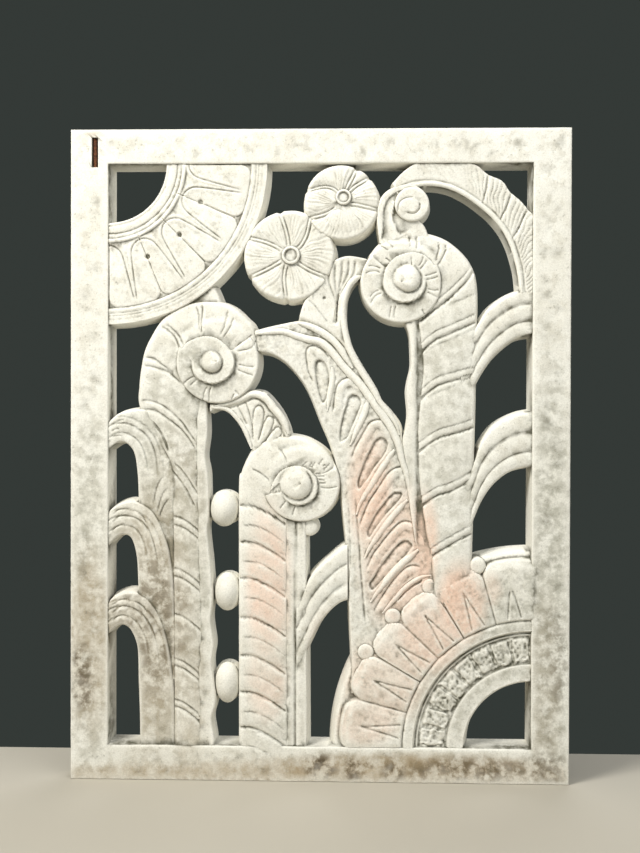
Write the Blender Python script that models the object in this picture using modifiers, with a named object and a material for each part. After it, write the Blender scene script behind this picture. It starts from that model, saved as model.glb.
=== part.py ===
"""Pierced cast concrete panel: a square-edged frame round a carved garden of scrolls, fans and leaves.

The carving is laid out flat on a drawing board first: X to the right, Y up, Z towards the viewer, with the
casting's back at Z = 0. The finished casting is then stood upright, with its front facing -Y.
"""
import math

import bmesh
import bpy
from mathutils import Matrix, Vector

# Driving dimensions, in metres.
PANEL_WIDTH = 0.750
PANEL_HEIGHT = 0.980
FRAME_DEPTH = 0.050
SIDE_RAIL = 0.057
TOP_RAIL = 0.052
BOTTOM_RAIL = 0.053
PROUD = 0.016            # how far the highest boss stands in front of the frame's face
EDGE_WEAR = 0.0022       # rounding of the frame's arrises
GAP = 0.0003             # clearance round the bar that lies in its slot
BURIED = 0.010           # how far a carved part runs into what carries it
MERGE = 0.00005

# The carving's drawing is squared up: 500 squares span the panel's width. Its sheet is a little out of
# square, so its four corners are given in squares and every point is straightened by board().
SQUARE = PANEL_WIDTH / 500
SHEET_TOP_LEFT = (71.0, 129.3)
SHEET_TOP_RIGHT = (572.0, 127.0)
SHEET_FOOT_RIGHT = (568.5, 785.5)
SHEET_FOOT_LEFT = (70.7, 779.2)

# Heights above the frame's face, in metres; below it is negative.
FAN_FIELD = -0.007
FAN_PETAL = -0.002
FAN_RIM = -0.004
STEM_FACE = -0.001
BAND_FACE = -0.005
STRAP_FACE = -0.004
RIBBON_FACE = -0.002
LEAF_FACE = -0.007
LEAF_RIM = -0.003
FLOWER_FACE = -0.001
DISC_FACE = 0.003

GROOVE = 0.0022          # radius of a carved line
CIRCLE_STEPS = 22
FAN_STEPS = 48           # steps in the full turn that a fan's quarter is cut from


def board(x, y):
    """Straighten a point of the drawing: metres from the panel's lower centre, on the board."""
    across = (x - SHEET_TOP_LEFT[0]) / (SHEET_TOP_RIGHT[0] - SHEET_TOP_LEFT[0])
    top = SHEET_TOP_LEFT[1] + across * (SHEET_TOP_RIGHT[1] - SHEET_TOP_LEFT[1])
    foot = SHEET_FOOT_LEFT[1] + across * (SHEET_FOOT_RIGHT[1] - SHEET_FOOT_LEFT[1])
    down = (y - top) / (foot - top)
    left = SHEET_TOP_LEFT[0] + down * (SHEET_FOOT_LEFT[0] - SHEET_TOP_LEFT[0])
    right = SHEET_TOP_RIGHT[0] + down * (SHEET_FOOT_RIGHT[0] - SHEET_TOP_RIGHT[0])
    across = (x - left) / (right - left)
    return Vector((PANEL_WIDTH * (across - 0.5), PANEL_HEIGHT * (1 - down)))


def smooth(points, steps=2):
    """A Catmull-Rom line through the points, with this many steps a span."""
    line = []
    for i in range(len(points) - 1):
        before = points[max(i - 1, 0)]
        after = points[min(i + 2, len(points) - 1)]
        for step in range(steps):
            t = step / steps
            line.append(tuple(
                0.5 * (2 * b + (c - a) * t + (2 * a - 5 * b + 4 * c - d) * t * t + (3 * b - a - 3 * c + d) * t ** 3)
                for a, b, c, d in zip(before, points[i], points[i + 1], after)))
    line.append(points[-1])
    return line


def outline(*runs, steps=2):
    """A closed outline on the board from runs of drawing points; each run is smooth, corners lie between."""
    line = []
    for run in runs:
        line += smooth(run, steps) if len(run) > 2 else list(run)
    return [board(x, y) for x, y in line]


def new_collection(name):
    collection = bpy.data.collections.new(name)
    bpy.context.scene.collection.children.link(collection)
    return collection


def add_mesh(name, bm, collection):
    bmesh.ops.recalc_face_normals(bm, faces=bm.faces)
    mesh = bpy.data.meshes.new(name)
    bm.to_mesh(mesh)
    bm.free()
    obj = bpy.data.objects.new(name, mesh)
    collection.objects.link(obj)
    return obj


def frozen(obj, collection):
    """The object as its modifiers or curve settings make it, as a plain welded mesh in this collection."""
    depsgraph = bpy.context.evaluated_depsgraph_get()
    mesh = bpy.data.meshes.new_from_object(obj.evaluated_get(depsgraph))
    mesh.transform(obj.matrix_world)
    bm = bmesh.new()
    bm.from_mesh(mesh)
    bmesh.ops.remove_doubles(bm, verts=bm.verts, dist=MERGE)
    bmesh.ops.dissolve_degenerate(bm, edges=bm.edges, dist=MERGE)
    name = obj.name
    bpy.data.objects.remove(obj)
    bpy.data.meshes.remove(mesh)
    return add_mesh(name, bm, collection)


def curve_object(name, points, closed):
    curve = bpy.data.curves.new(name, "CURVE")
    spline = curve.splines.new("POLY")
    spline.points.add(len(points) - 1)
    for knot, point in zip(spline.points, points):
        knot.co = (point[0], point[1], point[2] if len(point) > 2 else 0.0, 1.0)
    spline.use_cyclic_u = closed
    obj = bpy.data.objects.new(name, curve)
    bpy.context.scene.collection.objects.link(obj)
    bpy.context.view_layer.update()
    return obj


def slab(name, points, rise, soften=0.0015):
    """A flat outline, extruded from behind the back to this rise over the frame's face, edges softened."""
    obj = curve_object(name, points, True)
    curve = obj.data
    curve.dimensions = "2D"
    curve.fill_mode = "BOTH"
    front = FRAME_DEPTH + rise
    back = -BURIED
    curve.extrude = (front - back) / 2 - soften
    curve.bevel_depth = soften
    curve.bevel_resolution = 0
    curve.offset = -soften
    obj.location.z = (front + back) / 2
    bpy.context.view_layer.update()
    return frozen(obj, SOLIDS)


def turned(name, centre, profile, steps=CIRCLE_STEPS):
    """A turned boss: (radius in squares, rise in metres) pairs from the middle out, then down past the back."""
    rim = profile[-1][0] * SQUARE
    corners = [(radius * SQUARE, FRAME_DEPTH + rise) for radius, rise in profile]
    corners += [(rim, -BURIED), (0.0, -BURIED)]
    if profile[0][0] > 0:
        corners[-1] = (profile[0][0] * SQUARE, -BURIED)
        corners.append(corners[0])
    bm = bmesh.new()
    verts = [bm.verts.new((radius, 0.0, height)) for radius, height in corners]
    for a, b in zip(verts, verts[1:]):
        bm.edges.new((a, b))
    mesh = bpy.data.meshes.new(name)
    bm.to_mesh(mesh)
    bm.free()
    obj = bpy.data.objects.new(name, mesh)
    bpy.context.scene.collection.objects.link(obj)
    screw = obj.modifiers.new("turn", "SCREW")
    screw.steps = steps
    screw.render_steps = steps
    screw.use_merge_vertices = True
    screw.merge_threshold = MERGE
    place = board(*centre)
    obj.location = (place.x, place.y, 0.0)
    bpy.context.view_layer.update()
    return frozen(obj, SOLIDS)


def groove(name, points, rise, radius=GROOVE):
    """A round-bottomed line cut along drawing points into a face at this rise."""
    line = [(*board(x, y), FRAME_DEPTH + rise + 0.3 * radius) for x, y in points]
    obj = curve_object(name, line, False)
    obj.data.dimensions = "3D"
    obj.data.bevel_depth = radius
    obj.data.bevel_resolution = 0
    obj.data.use_fill_caps = True
    return frozen(obj, CUTTERS)


def block(name, low, high, collection):
    bm = bmesh.new()
    bmesh.ops.create_cube(bm, size=1.0)
    size = Vector(high) - Vector(low)
    middle = (Vector(high) + Vector(low)) / 2
    bmesh.ops.transform(bm, matrix=Matrix.Translation(middle) @ Matrix.Diagonal((*size, 1.0)), verts=bm.verts)
    return add_mesh(name, bm, collection)


def boolean(target, operation, collection):
    cut = target.modifiers.new(operation.lower(), "BOOLEAN")
    cut.operation = operation
    cut.solver = "EXACT"
    cut.operand_type = "COLLECTION"
    cut.collection = collection
    return target


def ray(centre, angle, radius):
    """The drawing point at this angle (degrees, counter-clockwise from the right) and radius in squares."""
    turn = math.radians(angle)
    return (centre[0] + radius * math.cos(turn), centre[1] - radius * math.sin(turn))


# ---------------------------------------------------------------- the frame

WINDOW_LEFT = -PANEL_WIDTH / 2 + SIDE_RAIL
WINDOW_RIGHT = PANEL_WIDTH / 2 - SIDE_RAIL
WINDOW_TOP = PANEL_HEIGHT - TOP_RAIL


def make_frame():
    """The square-edged surround, with its window left open and its arrises worn round."""
    half = PANEL_WIDTH / 2
    frame = block("frame_blank", (-half, 0.0, 0.0), (half, PANEL_HEIGHT, FRAME_DEPTH), SOLIDS)
    window = block("frame_window", (WINDOW_LEFT, BOTTOM_RAIL, -BURIED),
                   (WINDOW_RIGHT, WINDOW_TOP, FRAME_DEPTH + BURIED), BLANKS)
    hole = frame.modifiers.new("window", "BOOLEAN")
    hole.object = window
    hole.solver = "EXACT"
    wear = frame.modifiers.new("worn arrises", "BEVEL")
    wear.width = EDGE_WEAR
    wear.segments = 1
    frame = frozen(frame, SOLIDS)
    bpy.data.objects.remove(window)
    return frame


def corner_quarter(disc, x_low, x_high, y_low, y_high):
    """Keep the part of a turned disc that lies in the window's corner and in the rails beside it."""
    keep = block("keep", (x_low, y_low, -2 * BURIED), (x_high, y_high, FRAME_DEPTH + PROUD), BLANKS)
    trim = disc.modifiers.new("quarter", "BOOLEAN")
    trim.operation = "INTERSECT"
    trim.object = keep
    trim.solver = "EXACT"
    disc = frozen(disc, SOLIDS)
    bpy.data.objects.remove(keep)
    return disc


# ---------------------------------------------------------------- the two corner fans

UPPER_FAN = (109.5, 164.0)
UPPER_FAN_PROFILE = ((58, -0.006), (60, FAN_RIM), (76, FAN_RIM), (79, FAN_FIELD), (141, FAN_FIELD),
                     (144, FAN_RIM), (158.5, FAN_RIM), (160, -0.006))
UPPER_PADS = (-22.5, -45.0, -67.5)      # angles of the pads' middles
PAD_END = 81.5            # radius of a pad's rounded inner end
PAD_HALF = 8.5            # degrees from a pad's middle to its side

LOWER_FAN = (531.0, 748.0)
LOWER_FAN_PROFILE = ((66, -0.006), (68, -0.003), (82, -0.003), (84, FAN_FIELD), (110, FAN_FIELD),
                     (112, -0.003), (114, -0.003), (116, -0.006), (118, -0.002), (126, -0.002),
                     (128, -0.006), (186, -0.008))
LOWER_JOINTS = (91.0, 105.5, 121.0, 135.5, 149.0, 164.0, 178.5)   # angles of the joints between its petals
PETAL_FILL = 0.94         # share of its pitch that a petal takes up
PETAL_BULGE = 12          # how far a petal's end is rounded back
WORN_BLOCKS = 7
BLOCK_HALF = 5            # degrees from a block's middle to its side


def wedge(centre, inner, outer, middle, half, bulge):
    """A petal's outline: straight sides on two rays and a rounded outer end."""
    side = half * PETAL_FILL
    end = ((1.0, outer - bulge), (0.72, outer - 0.35 * bulge), (0.3, outer))
    points = [ray(centre, middle - side, inner)]
    points += [ray(centre, middle - share * side, radius) for share, radius in end]
    points.append(ray(centre, middle, outer))
    points += [ray(centre, middle + share * side, radius) for share, radius in reversed(end)]
    points.append(ray(centre, middle + side, inner))
    return [board(x, y) for x, y in points]


def upper_fan():
    """Rings round the window's upper left corner, with a row of pads between thin darts."""
    disc = turned("upper_fan", UPPER_FAN, UPPER_FAN_PROFILE, FAN_STEPS)
    corner = board(*UPPER_FAN)
    corner_quarter(disc, corner.x - BURIED, corner.x + 0.3, corner.y - 0.3, corner.y + BURIED)
    side = ((0.88, 141), (1.0, 100), (0.7, 86))
    for middle in UPPER_PADS:
        pad = [ray(UPPER_FAN, middle - share * PAD_HALF, radius) for share, radius in side]
        pad.append(ray(UPPER_FAN, middle, PAD_END))
        pad += [ray(UPPER_FAN, middle + share * PAD_HALF, radius) for share, radius in reversed(side)]
        slab("upper_pad", [board(x, y) for x, y in pad], FAN_PETAL)
        groove("pad_vein", [ray(UPPER_FAN, middle, 97), ray(UPPER_FAN, middle, 137)], FAN_PETAL)


def lower_fan():
    """Rings round the window's lower right corner: worn blocks inside, a bead ring and broad petals."""
    disc = turned("lower_fan", LOWER_FAN, LOWER_FAN_PROFILE, FAN_STEPS)
    corner = board(*LOWER_FAN)
    corner_quarter(disc, corner.x - 0.3, corner.x + BURIED, corner.y - BURIED, corner.y + 0.3)
    for low, high in zip(LOWER_JOINTS, LOWER_JOINTS[1:]):
        middle = (low + high) / 2
        half = (high - low) / 2
        slab("lower_petal", wedge(LOWER_FAN, 124, 189, middle, half, PETAL_BULGE), 0.000, 0.003)
        fork = ray(LOWER_FAN, middle, 170)
        for side in (-1, 1):
            groove("petal_vein", [fork, ray(LOWER_FAN, middle + 0.55 * side * half, 134)], 0.000, 0.0016)
    for i in range(WORN_BLOCKS):
        middle = 97 + 13 * i
        stone = [ray(LOWER_FAN, middle - BLOCK_HALF, 86), ray(LOWER_FAN, middle - BLOCK_HALF + 1, 108),
                 ray(LOWER_FAN, middle + BLOCK_HALF - 1, 108), ray(LOWER_FAN, middle + BLOCK_HALF, 86)]
        slab("worn_block", [board(x, y) for x, y in stone], -0.003)


# ---------------------------------------------------------------- flowers

def flower(name, centre, radius, joints, button, button_radius):
    """A low dome of petals with pairs of lines between them, and a ring button in its middle."""
    dome = ((0, -0.004), (0.45, 0), (0.8, -0.002), (0.95, -0.006), (1, -0.012))
    turned(name, centre, [(share * radius, FLOWER_FACE + drop) for share, drop in dome])
    turned(name + "_button", button, ((0, 0.000), (0.6 * button_radius, 0.001), (0.8 * button_radius, 0.004),
                                      (button_radius, 0.002)), 16)
    for angle in joints:
        groove(name + "_joint", [ray(centre, angle, 1.15 * button_radius), ray(centre, angle, 0.6 * radius),
                                 ray(centre, angle, 1.02 * radius)], FLOWER_FACE - 0.0015)


# ---------------------------------------------------------------- scrolls and stems

def boss(centre, radius, rise):
    """A round button, as a low dome."""
    dome = [(radius * math.sin(a * math.pi / 8), rise * math.cos(a * math.pi / 8)) for a in range(4)]
    turned("boss", centre, dome + [(radius, 0.0)], 16)


def right_scroll():
    """The tallest stem: a hooded scroll with a two-step rosette, on a shaft cut by rising bands."""
    left = [(432, 610), (432, 560), (426, 530), (421, 490), (418.5, 440), (421, 400), (424, 370), (421, 325)]
    hood = [(368, 258), (378, 246), (390, 235), (405, 231), (430, 232), (450, 241), (466, 255), (475, 272),
            (478.5, 300), (477.5, 360), (475, 460), (473, 560), (473, 600)]
    slab("right_stem", outline(left, [(396, 306), (374, 280)], hood), STEM_FACE, 0.006)
    ribbon = [(404, 312), (410, 345), (411, 365), (408, 392), (409, 415), (404, 440), (411, 505), (420, 560)]
    slab("right_ribbon", outline(ribbon, [(436, 560), (436, 325)]), RIBBON_FACE)
    turned("right_disc", (402, 282), ((0, DISC_FACE), (36, DISC_FACE), (39, DISC_FACE - 0.003), (40, -0.004)))
    turned("right_whorl", (407, 277), ((0, 0.004), (13, 0.004), (17, 0.007), (24, 0.007), (26, 0.003)), 24)
    boss((409.5, 279), 12, PROUD)
    for foot in (318, 352, 400, 452, 508, 557):
        band = [(418, foot), (440, foot - 13), (480, foot - 30)]
        groove("right_band", band, STEM_FACE)
    for angle in (150, 205, 250, 300, 345, 25):
        groove("right_tick", [ray((402, 282), angle, 27), ray((402, 282), angle, 41)], DISC_FACE)


def left_scroll():
    """The left stem: a scroll with a dished rosette on a broad ribbed shaft."""
    left = [(178, 308), (160, 322), (147, 344), (141, 370), (139, 400), (138.5, 450), (139, 520), (138, 600),
            (139, 700), (140, 765)]
    right = [(205, 765), (205, 690), (203, 600), (201, 500), (202, 430), (205, 396)]
    top = [(258, 352), (257, 330), (248, 318), (236, 307), (222, 301), (200, 302), (178, 308)]
    slab("left_stem", outline(left, right, top), BAND_FACE, 0.005)
    shaft = [(176, 765), (175, 690), (174, 600), (174, 510), (168, 460), (150, 412)]
    slab("left_shaft", outline(shaft, [(150, 360), (170, 326), (200, 340)], [(204, 400), (203, 600), (206, 765)]),
         STEM_FACE, 0.005)
    ribbon = [(208, 400), (210, 430), (207, 455), (211, 515), (209.5, 530), (214, 580), (213, 620), (216, 645),
              (214, 665), (218, 700), (214, 720), (217, 765)]
    slab("left_ribbon", outline(ribbon, [(196, 765), (196, 398)]), RIBBON_FACE)
    stub = [(188, 300), (213, 287), (218, 291), (222, 303), (205, 314), (186, 314)]
    slab("left_stub", outline(stub), STRAP_FACE)
    turned("left_disc", (219, 361), ((0, DISC_FACE), (38, DISC_FACE), (40.5, DISC_FACE - 0.002), (41.5, -0.004)))
    turned("left_dish", (214, 358), ((0, 0.004), (15, 0.004), (18, 0.007), (22, 0.006), (23.5, 0.003)), 24)
    boss((213, 361), 10, 0.013)
    for top_end in (407, 470, 520, 572, 614, 660, 702):
        groove("left_band", [(172, top_end), (188, top_end + 7), (203, top_end + 22)], STEM_FACE)
    for angle in (100, 68, 20, -8, -100, -130, 140, 165):
        groove("left_tick", [ray((219, 361), angle, 25), ray((219, 361), angle, 44)], DISC_FACE)


def middle_scroll():
    """The short stem: a small scroll on a banded shaft with a flat strip down its right side."""
    left = [(303, 436), (285, 435), (268, 440), (252, 452), (244, 468), (240, 488), (240, 560), (240, 765)]
    slab("middle_stem", outline(left, [(294, 765), (292, 620), (294, 520)], [(334, 475), (325, 448), (303, 436)]),
         STEM_FACE, 0.006)
    strip = outline([(286, 765), (286, 500), (309, 500), (307, 560), (309, 765)], steps=1)
    slab("middle_strip", strip, STRAP_FACE)
    turned("middle_disc", (303, 483),
           ((0, DISC_FACE), (35, DISC_FACE), (37.5, DISC_FACE - 0.002), (38.5, -0.004)))
    turned("middle_ring", (300, 484), ((0, 0.004), (15, 0.004), (17, 0.006), (20.5, 0.006), (22, 0.003)), 24)
    boss((299, 484), 14, 0.013)
    turned("middle_drop", (311, 526), ((0, -0.002), (6, -0.004), (9, -0.010)), 12)
    for top_end in (505, 541, 578, 618, 656, 693, 729):
        groove("middle_band", [(238, top_end), (262, top_end + 3), (288, top_end + 16)], STEM_FACE)
    for angle in range(20, 360, 51):
        groove("middle_tick", [ray((303, 483), angle, 23), ray((303, 483), angle, 40)], DISC_FACE)


def small_scroll():
    """The little hook at the top, curled round its own disc."""
    hook = [(424, 190), (410, 183), (395, 187), (384, 192), (379, 206), (377.5, 222), (382, 245)]
    neck = [(432, 245), (428, 228), (420, 216)]
    slab("small_hook", outline(hook, neck), STRAP_FACE)
    turned("small_disc", (414, 204), ((0, 0.002), (10, 0.001), (14, 0.002), (16, 0.000), (17, -0.004)), 20)


# ---------------------------------------------------------------- fronds, straps, leaves and balls

RIB_SHARES = (0.36, 0.70)     # how far across a strap its carved lines run


def part_way(upper, lower, share):
    """A line this share of the way from a strap's upper edge to its lower one, which runs the other way."""
    return [(a[0] + share * (b[0] - a[0]), a[1] + share * (b[1] - a[1])) for a, b in zip(upper, reversed(lower))]


def straps():
    """The frond over the top right corner, two straps under it, three arches on the left, one by the leaf."""
    frond_out = [(398, 178), (412, 166), (424, 158), (440, 156), (462, 160), (478, 165), (490, 174), (503, 180),
                 (512, 193), (524, 202), (532, 214), (545, 224)]
    frond_in = [(545, 292), (519, 288), (517, 272), (510, 245), (497, 222), (480, 206), (460, 193), (435, 185),
                (420, 188), (408, 194)]
    slab("frond", outline(frond_out, frond_in), STRAP_FACE, 0.003)
    groove("frond_line", smooth([(424, 178), (450, 180), (480, 196), (505, 224), (522, 262), (526, 290)]),
           STRAP_FACE)
    right_straps = (
        ([(466, 345), (480, 321), (490, 307), (505, 296), (520, 289.5), (545, 286)],
         [(545, 334), (533, 334), (515, 338), (496, 353), (480, 376), (466, 400)]),
        ([(466, 480), (478, 455), (495, 425), (515, 414), (533, 410), (545, 409)],
         [(545, 465), (532, 466), (512, 470), (495, 483), (482, 501), (466, 535)]))
    for upper, lower in right_straps:
        slab("right_strap", outline(upper, lower), STRAP_FACE, 0.003)
        for share in RIB_SHARES:
            groove("strap_rib", smooth(part_way(upper, lower, share)[1:]), STRAP_FACE)
    arch_feet = ((412, 441, 495), (501, 534, 580), (591, 625, 680))
    for crown, soffit, foot in arch_feet:
        upper = [(100, crown + 10), (119, crown + 1), (131, crown - 1), (148, crown + 4)]
        lower = [(148, foot), (139, foot - 14), (135, soffit + 12), (129, soffit + 2), (121, soffit),
                 (113, soffit + 4), (100, soffit + 12)]
        slab("left_arch", outline(upper, lower), STRAP_FACE, 0.003)
        for drop in (9, 19):
            groove("arch_rib", [(108, crown + 8 + drop), (119, crown + drop), (132, crown + 1 + drop),
                                (142, crown + 10 + drop)], STRAP_FACE)
    upper = [(300, 604), (311, 576), (320, 567), (330, 558), (343, 547), (356, 542)]
    lower = [(356, 598), (344, 602), (332, 610), (322, 622), (313, 640), (300, 668)]
    slab("middle_strap", outline(upper, lower), STRAP_FACE, 0.002)
    for share in RIB_SHARES:
        groove("middle_rib", smooth(part_way(upper, lower, share)), STRAP_FACE)


BALLS = ((225, 508, 14, 19), (228, 592, 12.5, 20), (228, 684, 12, 21))


def balls():
    """Three berries between the left and middle stems."""
    for x, y, half_width, half_height in BALLS:
        bm = bmesh.new()
        bmesh.ops.create_uvsphere(bm, u_segments=12, v_segments=6, radius=1.0)
        ball = add_mesh("berry", bm, SOLIDS)
        place = board(x, y)
        shape = Matrix.Diagonal(((half_width + 3) * SQUARE, half_height * SQUARE, 0.7 * FRAME_DEPTH, 1.0))
        ball.data.transform(Matrix.Translation((place.x, place.y, 0.36 * FRAME_DEPTH)) @ shape)


LEAF_LOBES = (
    ((312, 345), (323, 396), 6.5), ((350, 378), (341, 430), 9), ((380, 419), (358, 476), 9.5),
    ((402, 466), (368, 522), 9.5), ((405, 521), (370, 574), 9.5), ((416, 566), (382, 606), 9))


def lobe(top, foot, half):
    """One finger of the leaf: a long pad with a round upper end, pointed at its foot."""
    axis = Vector((foot[0] - top[0], foot[1] - top[1]))
    side = axis.orthogonal().normalized()
    along = axis.normalized()
    widths = ((0.0, 0.0), (0.25 * half, 0.6), (0.9 * half, 1.0), (0.5 * axis.length, 0.75), (axis.length, 0.25))
    right = [Vector(top) + along * distance + side * half * share for distance, share in widths]
    left = [Vector(top) + along * distance - side * half * share for distance, share in reversed(widths[1:])]
    return [board(p.x, p.y) for p in right + left]


def leaf():
    """The big leaf: a hooked blade and a left-pointing tip over a body cut into fingers."""
    blade = [(333, 262), (349, 254), (374, 262)]
    hook = [(361, 278), (350, 287), (347.5, 315), (352, 340), (363, 364), (380, 392), (392, 412), (406, 431),
            (410, 475), (420, 520), (436, 560)]
    foot = [(436, 600), (400, 640), (353, 680)]
    left = [(353, 659), (351, 620), (349, 560), (345, 520), (341, 480), (333, 447), (317, 405), (304, 380),
            (288, 362), (272, 352), (250, 347)]
    tip = [(250, 331), (264, 328), (282, 327), (298, 329)]
    back = [(300, 334), (302, 312), (308, 296), (320, 277), (333, 262)]
    slab("leaf", outline(blade, hook, foot, left, tip, back), LEAF_FACE)
    rim_out = [(x + 1.0, y) for x, y in hook[1:9]]
    rim_in = [(346, 284), (341, 298), (340, 318), (345, 348), (357, 374), (380, 402), (400, 440), (405, 475)]
    slab("leaf_rim", outline(rim_out, list(reversed(rim_in))), LEAF_RIM)
    for top, bottom, half in LEAF_LOBES:
        slab("leaf_finger", lobe(top, bottom, half), LEAF_RIM, 0.001)
        middle = [(top[0] + t * (bottom[0] - top[0]), top[1] + t * (bottom[1] - top[1])) for t in (0.28, 0.55, 0.85)]
        groove("finger_vein", middle, LEAF_RIM, 0.0018)
    shell = [(214, 404), (235, 401), (247, 396), (258, 398), (275, 411), (286, 424), (296, 445)]
    slab("shell_leaf", outline(shell, [(270, 470), (256, 458)], [(254, 448), (245, 425), (236, 411), (214, 408)]),
         STRAP_FACE, 0.002)
    for x_top, y_top in ((247, 404), (259, 405), (270, 414), (279, 424)):
        groove("shell_rib", [(x_top, y_top), (0.6 * x_top + 0.4 * 264, 0.5 * (y_top + 442)), (264, 442)], STRAP_FACE)


# ---------------------------------------------------------------- the exposed bar

SLOT = (92.5, 137.5, 97.5, 166.5)       # the slot's left, top, right and foot on the drawing
SLOT_DEPTH = 0.011
BAR_RADIUS = 0.0032


def slot_and_bar():
    """A slot where the cover has spalled off the end of a reinforcing bar, and the rusty bar that lies in it."""
    low = board(SLOT[0], SLOT[3])
    high = board(SLOT[2], SLOT[1])
    block("bar_slot", (*low, FRAME_DEPTH - SLOT_DEPTH), (*high, FRAME_DEPTH + BURIED), CUTTERS)
    middle = (low.x + high.x) / 2
    length = high.y - low.y - 2 * GAP
    bm = bmesh.new()
    bmesh.ops.create_cone(bm, cap_ends=True, segments=12, radius1=BAR_RADIUS, radius2=BAR_RADIUS, depth=length)
    lay = Matrix.Translation((middle, (low.y + high.y) / 2, FRAME_DEPTH - SLOT_DEPTH + GAP + BAR_RADIUS))
    bmesh.ops.transform(bm, matrix=lay @ Matrix.Rotation(math.pi / 2, 4, "X"), verts=bm.verts)
    return add_mesh("exposed_bar", bm, PARTS)


# ---------------------------------------------------------------- material and assembly

def material(name, colour, roughness, metallic=0.0):
    result = bpy.data.materials.new(name)
    result.use_nodes = True
    shader = result.node_tree.nodes["Principled BSDF"]
    shader.inputs["Base Color"].default_value = (*colour, 1.0)
    shader.inputs["Roughness"].default_value = roughness
    shader.inputs["Metallic"].default_value = metallic
    return result


def stand_up(obj):
    """Turn a board-flat mesh upright, front to -Y, with the casting centred front to back on the origin."""
    middle = (FRAME_DEPTH + PROUD) / 2
    obj.data.transform(Matrix.Rotation(math.pi / 2, 4, "X") @ Matrix.Translation((0.0, 0.0, -middle)))


for old in list(bpy.data.objects):
    bpy.data.objects.remove(old)
PARTS = new_collection("pierced_concrete_panel")
SOLIDS = new_collection("carved_solids")
CUTTERS = new_collection("carving_cutters")
BLANKS = new_collection("blanks")

casting = make_frame()
upper_fan()
lower_fan()
flower("round_flower", (291, 255), 45.5, (62, 102, 160, 212, 267, 338), (292.5, 254.5), 8.5)
flower("high_flower", (343.5, 202), 38, (52, 80, 163, 216, 347), (346, 197.5), 8)
small_scroll()
right_scroll()
left_scroll()
middle_scroll()
straps()
balls()
leaf()
bar = slot_and_bar()
block("behind", (-1.0, -1.0, -0.1), (1.0, 2.0, 0.0), CUTTERS)

SOLIDS.objects.unlink(casting)
PARTS.objects.link(casting)
boolean(casting, "UNION", SOLIDS)
boolean(casting, "DIFFERENCE", CUTTERS)
casting = frozen(casting, PARTS)
casting.name = "concrete_panel"
for helper in list(SOLIDS.objects) + list(CUTTERS.objects):
    bpy.data.objects.remove(helper)
casting.data.materials.append(material("weathered_concrete", (0.78, 0.75, 0.66), 0.9))
bar.data.materials.append(material("rusty_steel", (0.10, 0.045, 0.02), 0.85, 0.3))
for piece in (casting, bar):
    stand_up(piece)
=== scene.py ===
"""Pierced cast concrete panel: the looks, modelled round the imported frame.

The casting's carving is laid out flat on a drawing board, in squares of its drawing (1.5 mm each) for places
and in millimetres for heights, where 0 is the frame's front face. Each carved part is a closed solid with a
fine front, all of them are joined into one casting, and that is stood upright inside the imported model's box.
"""
import math

import bmesh
import bpy
import numpy as np
from bpy.props import FloatProperty, FloatVectorProperty, IntProperty, PointerProperty
from mathutils import Matrix, Vector


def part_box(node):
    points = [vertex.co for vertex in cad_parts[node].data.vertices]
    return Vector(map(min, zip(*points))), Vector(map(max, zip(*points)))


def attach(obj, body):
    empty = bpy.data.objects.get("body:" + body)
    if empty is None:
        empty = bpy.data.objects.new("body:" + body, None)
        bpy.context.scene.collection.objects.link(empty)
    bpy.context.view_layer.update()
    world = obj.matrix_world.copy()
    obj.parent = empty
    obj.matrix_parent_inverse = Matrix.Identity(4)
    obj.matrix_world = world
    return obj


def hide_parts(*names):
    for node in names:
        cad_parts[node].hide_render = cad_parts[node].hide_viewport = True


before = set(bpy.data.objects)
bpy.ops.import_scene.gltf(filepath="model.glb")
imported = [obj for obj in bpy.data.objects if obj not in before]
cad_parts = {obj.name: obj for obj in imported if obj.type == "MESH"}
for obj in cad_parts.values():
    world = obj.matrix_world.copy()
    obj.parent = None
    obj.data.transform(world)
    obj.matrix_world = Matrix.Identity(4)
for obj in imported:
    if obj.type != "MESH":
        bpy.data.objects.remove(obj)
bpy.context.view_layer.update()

bl_info = {
    "name": "Pierced Concrete Panel",
    "version": (1, 0, 0),
    "blender": (4, 5, 0),
    "location": "3D View > Sidebar > Panel",
    "description": "Builds a weathered, pierced cast concrete panel with its carving and studio stage",
    "category": "Add Mesh",
}

# ---------------------------------------------------------------- sizes

LOW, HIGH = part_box("concrete_panel")
PANEL_WIDTH = HIGH[0] - LOW[0]
PANEL_HEIGHT = HIGH[2] - LOW[2]
PANEL_MIDDLE = (LOW[0] + HIGH[0]) / 2
BACK_Y = HIGH[1]
FRAME_DEPTH = 0.050
MM = 0.001
DRAWING_WIDTH = 500                       # squares across the drawing
SQUARE_MM = 1000 * PANEL_WIDTH / DRAWING_WIDTH

# The corners of the drawing's sheet, in squares. It is a little out of square, and board() straightens it.
SHEET_TOP_LEFT = (71.0, 129.3)
SHEET_TOP_RIGHT = (572.0, 127.0)
SHEET_FOOT_RIGHT = (568.5, 785.5)
SHEET_FOOT_LEFT = (70.7, 779.2)

BACK_MM = -1000 * FRAME_DEPTH             # the back face, on the board's height scale
BEHIND_MM = BACK_MM - 8                   # carved parts run this deep before the back is trimmed flat
ARRIS_MM = -2.4                           # how far the surround's outer arris is worn down
WINDOW_ARRIS_MM = -2.2                    # and its inner one
SURROUND_STEP = 0.006                     # distance between the surround's rows of vertices
DRAFT = 2.6                               # how far a part's sides spread out to the back, in squares

SOLIDS = {}                               # carved solids that wait to be joined, by name


# ---------------------------------------------------------------- drawing board

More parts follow.
